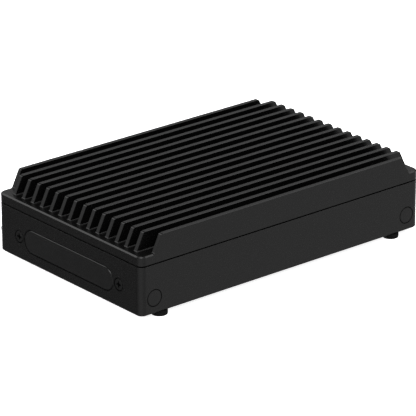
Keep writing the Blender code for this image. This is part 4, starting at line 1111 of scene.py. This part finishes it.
THREAD_PITCH = 0.72 * MM
THREAD_START = 0.3 * MM
NUT_WIDTH = 8.0 * MM              # across the flats


def antenna_fittings():
    """Threaded bulkhead connectors with their pins, and hexagonal nuts."""
    part = span("antenna_connector_1")
    nut = span("antenna_nut_1")
    tip = part.high.y
    place = (part.middle.x, tip, part.middle.z)
    profile = rings((2.2, 4.0), (2.2, 0.25), (2.4, 0.0), (2.75, 0.0), (2.8, 0.1))
    wall = tip - BACK + WALL + GAP
    for turn in range(int((wall - 0.8 * MM) / THREAD_PITCH)):
        start = THREAD_START + turn * THREAD_PITCH
        for radius, ahead in rings((3.1, 0.24), (3.1, 0.34), (2.8, 0.6)):
            profile.append((radius, start + ahead))
    profile += [(2.8 * MM, wall), (3.8 * MM, wall), (3.8 * MM, wall + 2.0 * MM), (2.0 * MM, wall + 2.0 * MM),
                (2.0 * MM, part.size.y - MM), (1.0 * MM, part.size.y)]
    barrel = turned("antenna_barrel_1", profile, place, "-Y")
    profile = rings((0.3, 1.5), (0.55, 1.6), (0.6, 1.8), (0.6, 4.2))
    pin = turned("antenna_pin_1", profile, place, "-Y", 20)
    corner = NUT_WIDTH / math.sqrt(3)
    thick = nut.size.y
    profile = [(corner * 0.94, 0.0), (corner, 0.22 * MM), (corner, thick - 0.22 * MM), (corner * 0.94, thick)]
    hexagon = turned("antenna_hexagon_1", profile, (nut.middle.x, nut.high.y, nut.middle.z), "-Y", 6)
    bore = rings((3.6, -1.0), (3.6, 0.0), (3.3, 0.3)) + [(3.3 * MM, thick + BREAK)]
    combine(hexagon, [turned("bore", bore, (nut.middle.x, nut.high.y, nut.middle.z), "-Y", 40)])
    soften(hexagon, 0.06 * MM, 1)
    shift = span("antenna_connector_2").middle - part.middle
    first = [barrel, pin, hexagon]
    second = [copied(piece, piece.name[:-1] + "2", shift) for piece in first]
    for count, pieces in enumerate((first, second), 1):
        fitted(pieces[0], "screw_black", [f"antenna_connector_{count}"])
        fitted(pieces[1], "nickel", finish="gold")
        fitted(pieces[2], "screw_black", [f"antenna_nut_{count}"])


# ---------------------------------------------------------------- inside

def inside_finishes():
    """Finishes for the parts inside, whose shapes stay as packed."""
    for row in frame["record"]["subparts"]:
        node, slot = row["node"], row["material_slot"]
        part = frame["nodes"][node]
        part.data.materials.clear()
        part.data.materials.append(MODULE_FINISHES.get(node, FINISHES[slot]))


# ---------------------------------------------------------------- studio

FLOOR_WIDTH = 12.0
FLOOR_GLOW = 0.88
LAMP_WIDTH = 1.4
LAMPS = (("front_light", (-0.9, -1.5, 1.9), 26.0), ("top_light", (0.0, 0.0, 1.9), 14.0))
# The surround's brightness by height, from straight down (0) to straight up (1).
SURROUND_BANDS = (
    (0.0, 0.05), (0.17, 0.15), (0.27, 0.7), (0.48, 0.62), (0.62, 0.5), (0.78, 0.2), (1.0, 0.16),
)
# Soft lights of the surround: where each one stands, how wide it is and how much it adds.
SURROUND_LIGHTS = (
    ((0.6, -0.7, -0.37), 1.1, 0.28),
    ((-0.7, -0.6, -0.37), 1.15, 0.6),
    ((-0.6, 0.7, -0.37), 0.9, -0.47),
    ((-0.375, 0.71, 0.6), 0.42, 4.1),
    ((-0.66, 0.71, 0.24), 0.4, 0.85),
    ((0.6, 0.71, 0.375), 0.6, 0.08),
    ((0.6, -0.375, 0.71), 0.45, 4.2),
    ((-0.32, -0.21, 0.92), 0.5, 3.5),
    ((-0.77, -0.1, 0.6), 0.5, 8.0),
)


def studio():
    """Pale floor, soft light all round, and a plain white surround."""
    bpy.ops.object.select_all(action="DESELECT")
    bpy.ops.mesh.primitive_plane_add(size=FLOOR_WIDTH, location=(0.0, 0.0, 0.0))
    floor = bpy.context.object
    floor.name = "floor"
    pale = Finish("floor_pale", Roughness=0.9, Specular_IOR_Level=0.1)
    pale.shader.inputs["Emission Color"].default_value = (1.0, 1.0, 1.0, 1.0)
    pale.shader.inputs["Emission Strength"].default_value = FLOOR_GLOW
    floor.data.materials.append(pale.paint(pale.blend(pale.noise(0.4), grey(0.93), grey(0.95))))
    floor.visible_glossy = False
    floor.visible_shadow = False
    surround()
    for name, place, power in LAMPS:
        lamp(name, place, power)
    bpy.context.scene.view_settings.view_transform = "Standard"


def surround():
    """White surround with soft lights that only the object's gloss picks up."""
    world = bpy.data.worlds.new("studio")
    bpy.context.scene.world = world
    sky = Tree(world)
    way = sky.node("TexCoord", {}, {}, "Generated")
    height = sky.node("SeparateXYZ", {}, {0: way}, "Z")
    light = sky.ramp(height * 0.5 + 0.5, *SURROUND_BANDS)
    for place, width, strength in SURROUND_LIGHTS:
        aim = Vector(place).normalized()
        gap = sky.node("VectorMath", {"operation": "DISTANCE"}, {0: way, 1: aim}, "Value")
        glow = sky.node("MapRange", {"interpolation_type": "SMOOTHERSTEP"},
                        {"Value": gap, "From Min": width, "From Max": 0.0, "To Min": 0.0, "To Max": strength})
        light = glow + light
    seen = sky.node("LightPath", {}, {}, "Is Camera Ray")
    background = sky.nodes["Background"]
    background.inputs["Color"].default_value = (1.0, 1.0, 1.0, 1.0)
    sky.plug(background.inputs["Strength"], light * (1.0 - seen) + seen)


def lamp(name, place, power):
    """Square softbox that looks at the case."""
    bpy.ops.object.light_add(type="AREA", location=place)
    made = bpy.context.object
    made.name = name
    made.data.size = LAMP_WIDTH
    made.data.energy = power
    made.rotation_euler = (Vector() - Vector(place)).to_track_quat("-Z", "Y").to_euler()


VIEW_TURN = math.radians(39.978)
VIEW_DROP = math.radians(21.958)
VIEW_DISTANCE = 1.74892
VIEW_SHIFT = (1.085 * MM, -3.342 * MM)
VIEW_LENS = 308.034
SENSOR_WIDTH = 36.0
CLIP_END = 20.0


def camera():
    """Long lens from the front left, looking down at the middle of the case."""
    level = math.cos(VIEW_DROP)
    ahead = Vector((math.sin(VIEW_TURN) * level, math.cos(VIEW_TURN) * level, -math.sin(VIEW_DROP)))
    right = Vector((math.cos(VIEW_TURN), -math.sin(VIEW_TURN), 0.0))
    above = right.cross(ahead)
    middle = Vector((0.0, 0.0, (CAD_BOX[0].z + CAD_BOX[1].z) / 2))
    aim = middle + right * VIEW_SHIFT[0] + above * VIEW_SHIFT[1]
    bpy.ops.object.camera_add(location=aim - ahead * VIEW_DISTANCE,
                              rotation=(math.pi / 2 - VIEW_DROP, 0.0, -VIEW_TURN))
    made = bpy.context.object
    made.data.lens = VIEW_LENS
    made.data.sensor_width = SENSOR_WIDTH
    made.data.clip_end = CLIP_END
    bpy.context.scene.camera = made


bpy.ops.object.select_all(action="DESELECT")
camera()
studio()
heatsink_lid()
base_housing()
end_plates()
end_screws()
floor_screws("lid_screw", capped, 2.75 * MM, 1.5 * MM, 2.0 * MM, 1.5 * MM)
floor_screws("service_cover_screw", countersunk, 1.9 * MM, 1.0 * MM, 0.9 * MM, 1.1 * MM)
side_plugs()
rubber_feet()
service_cover()
power_inlet()
video_socket()
serial_sockets()
network_socket()
power_button()
light_window()
antenna_fittings()
inside_finishes()
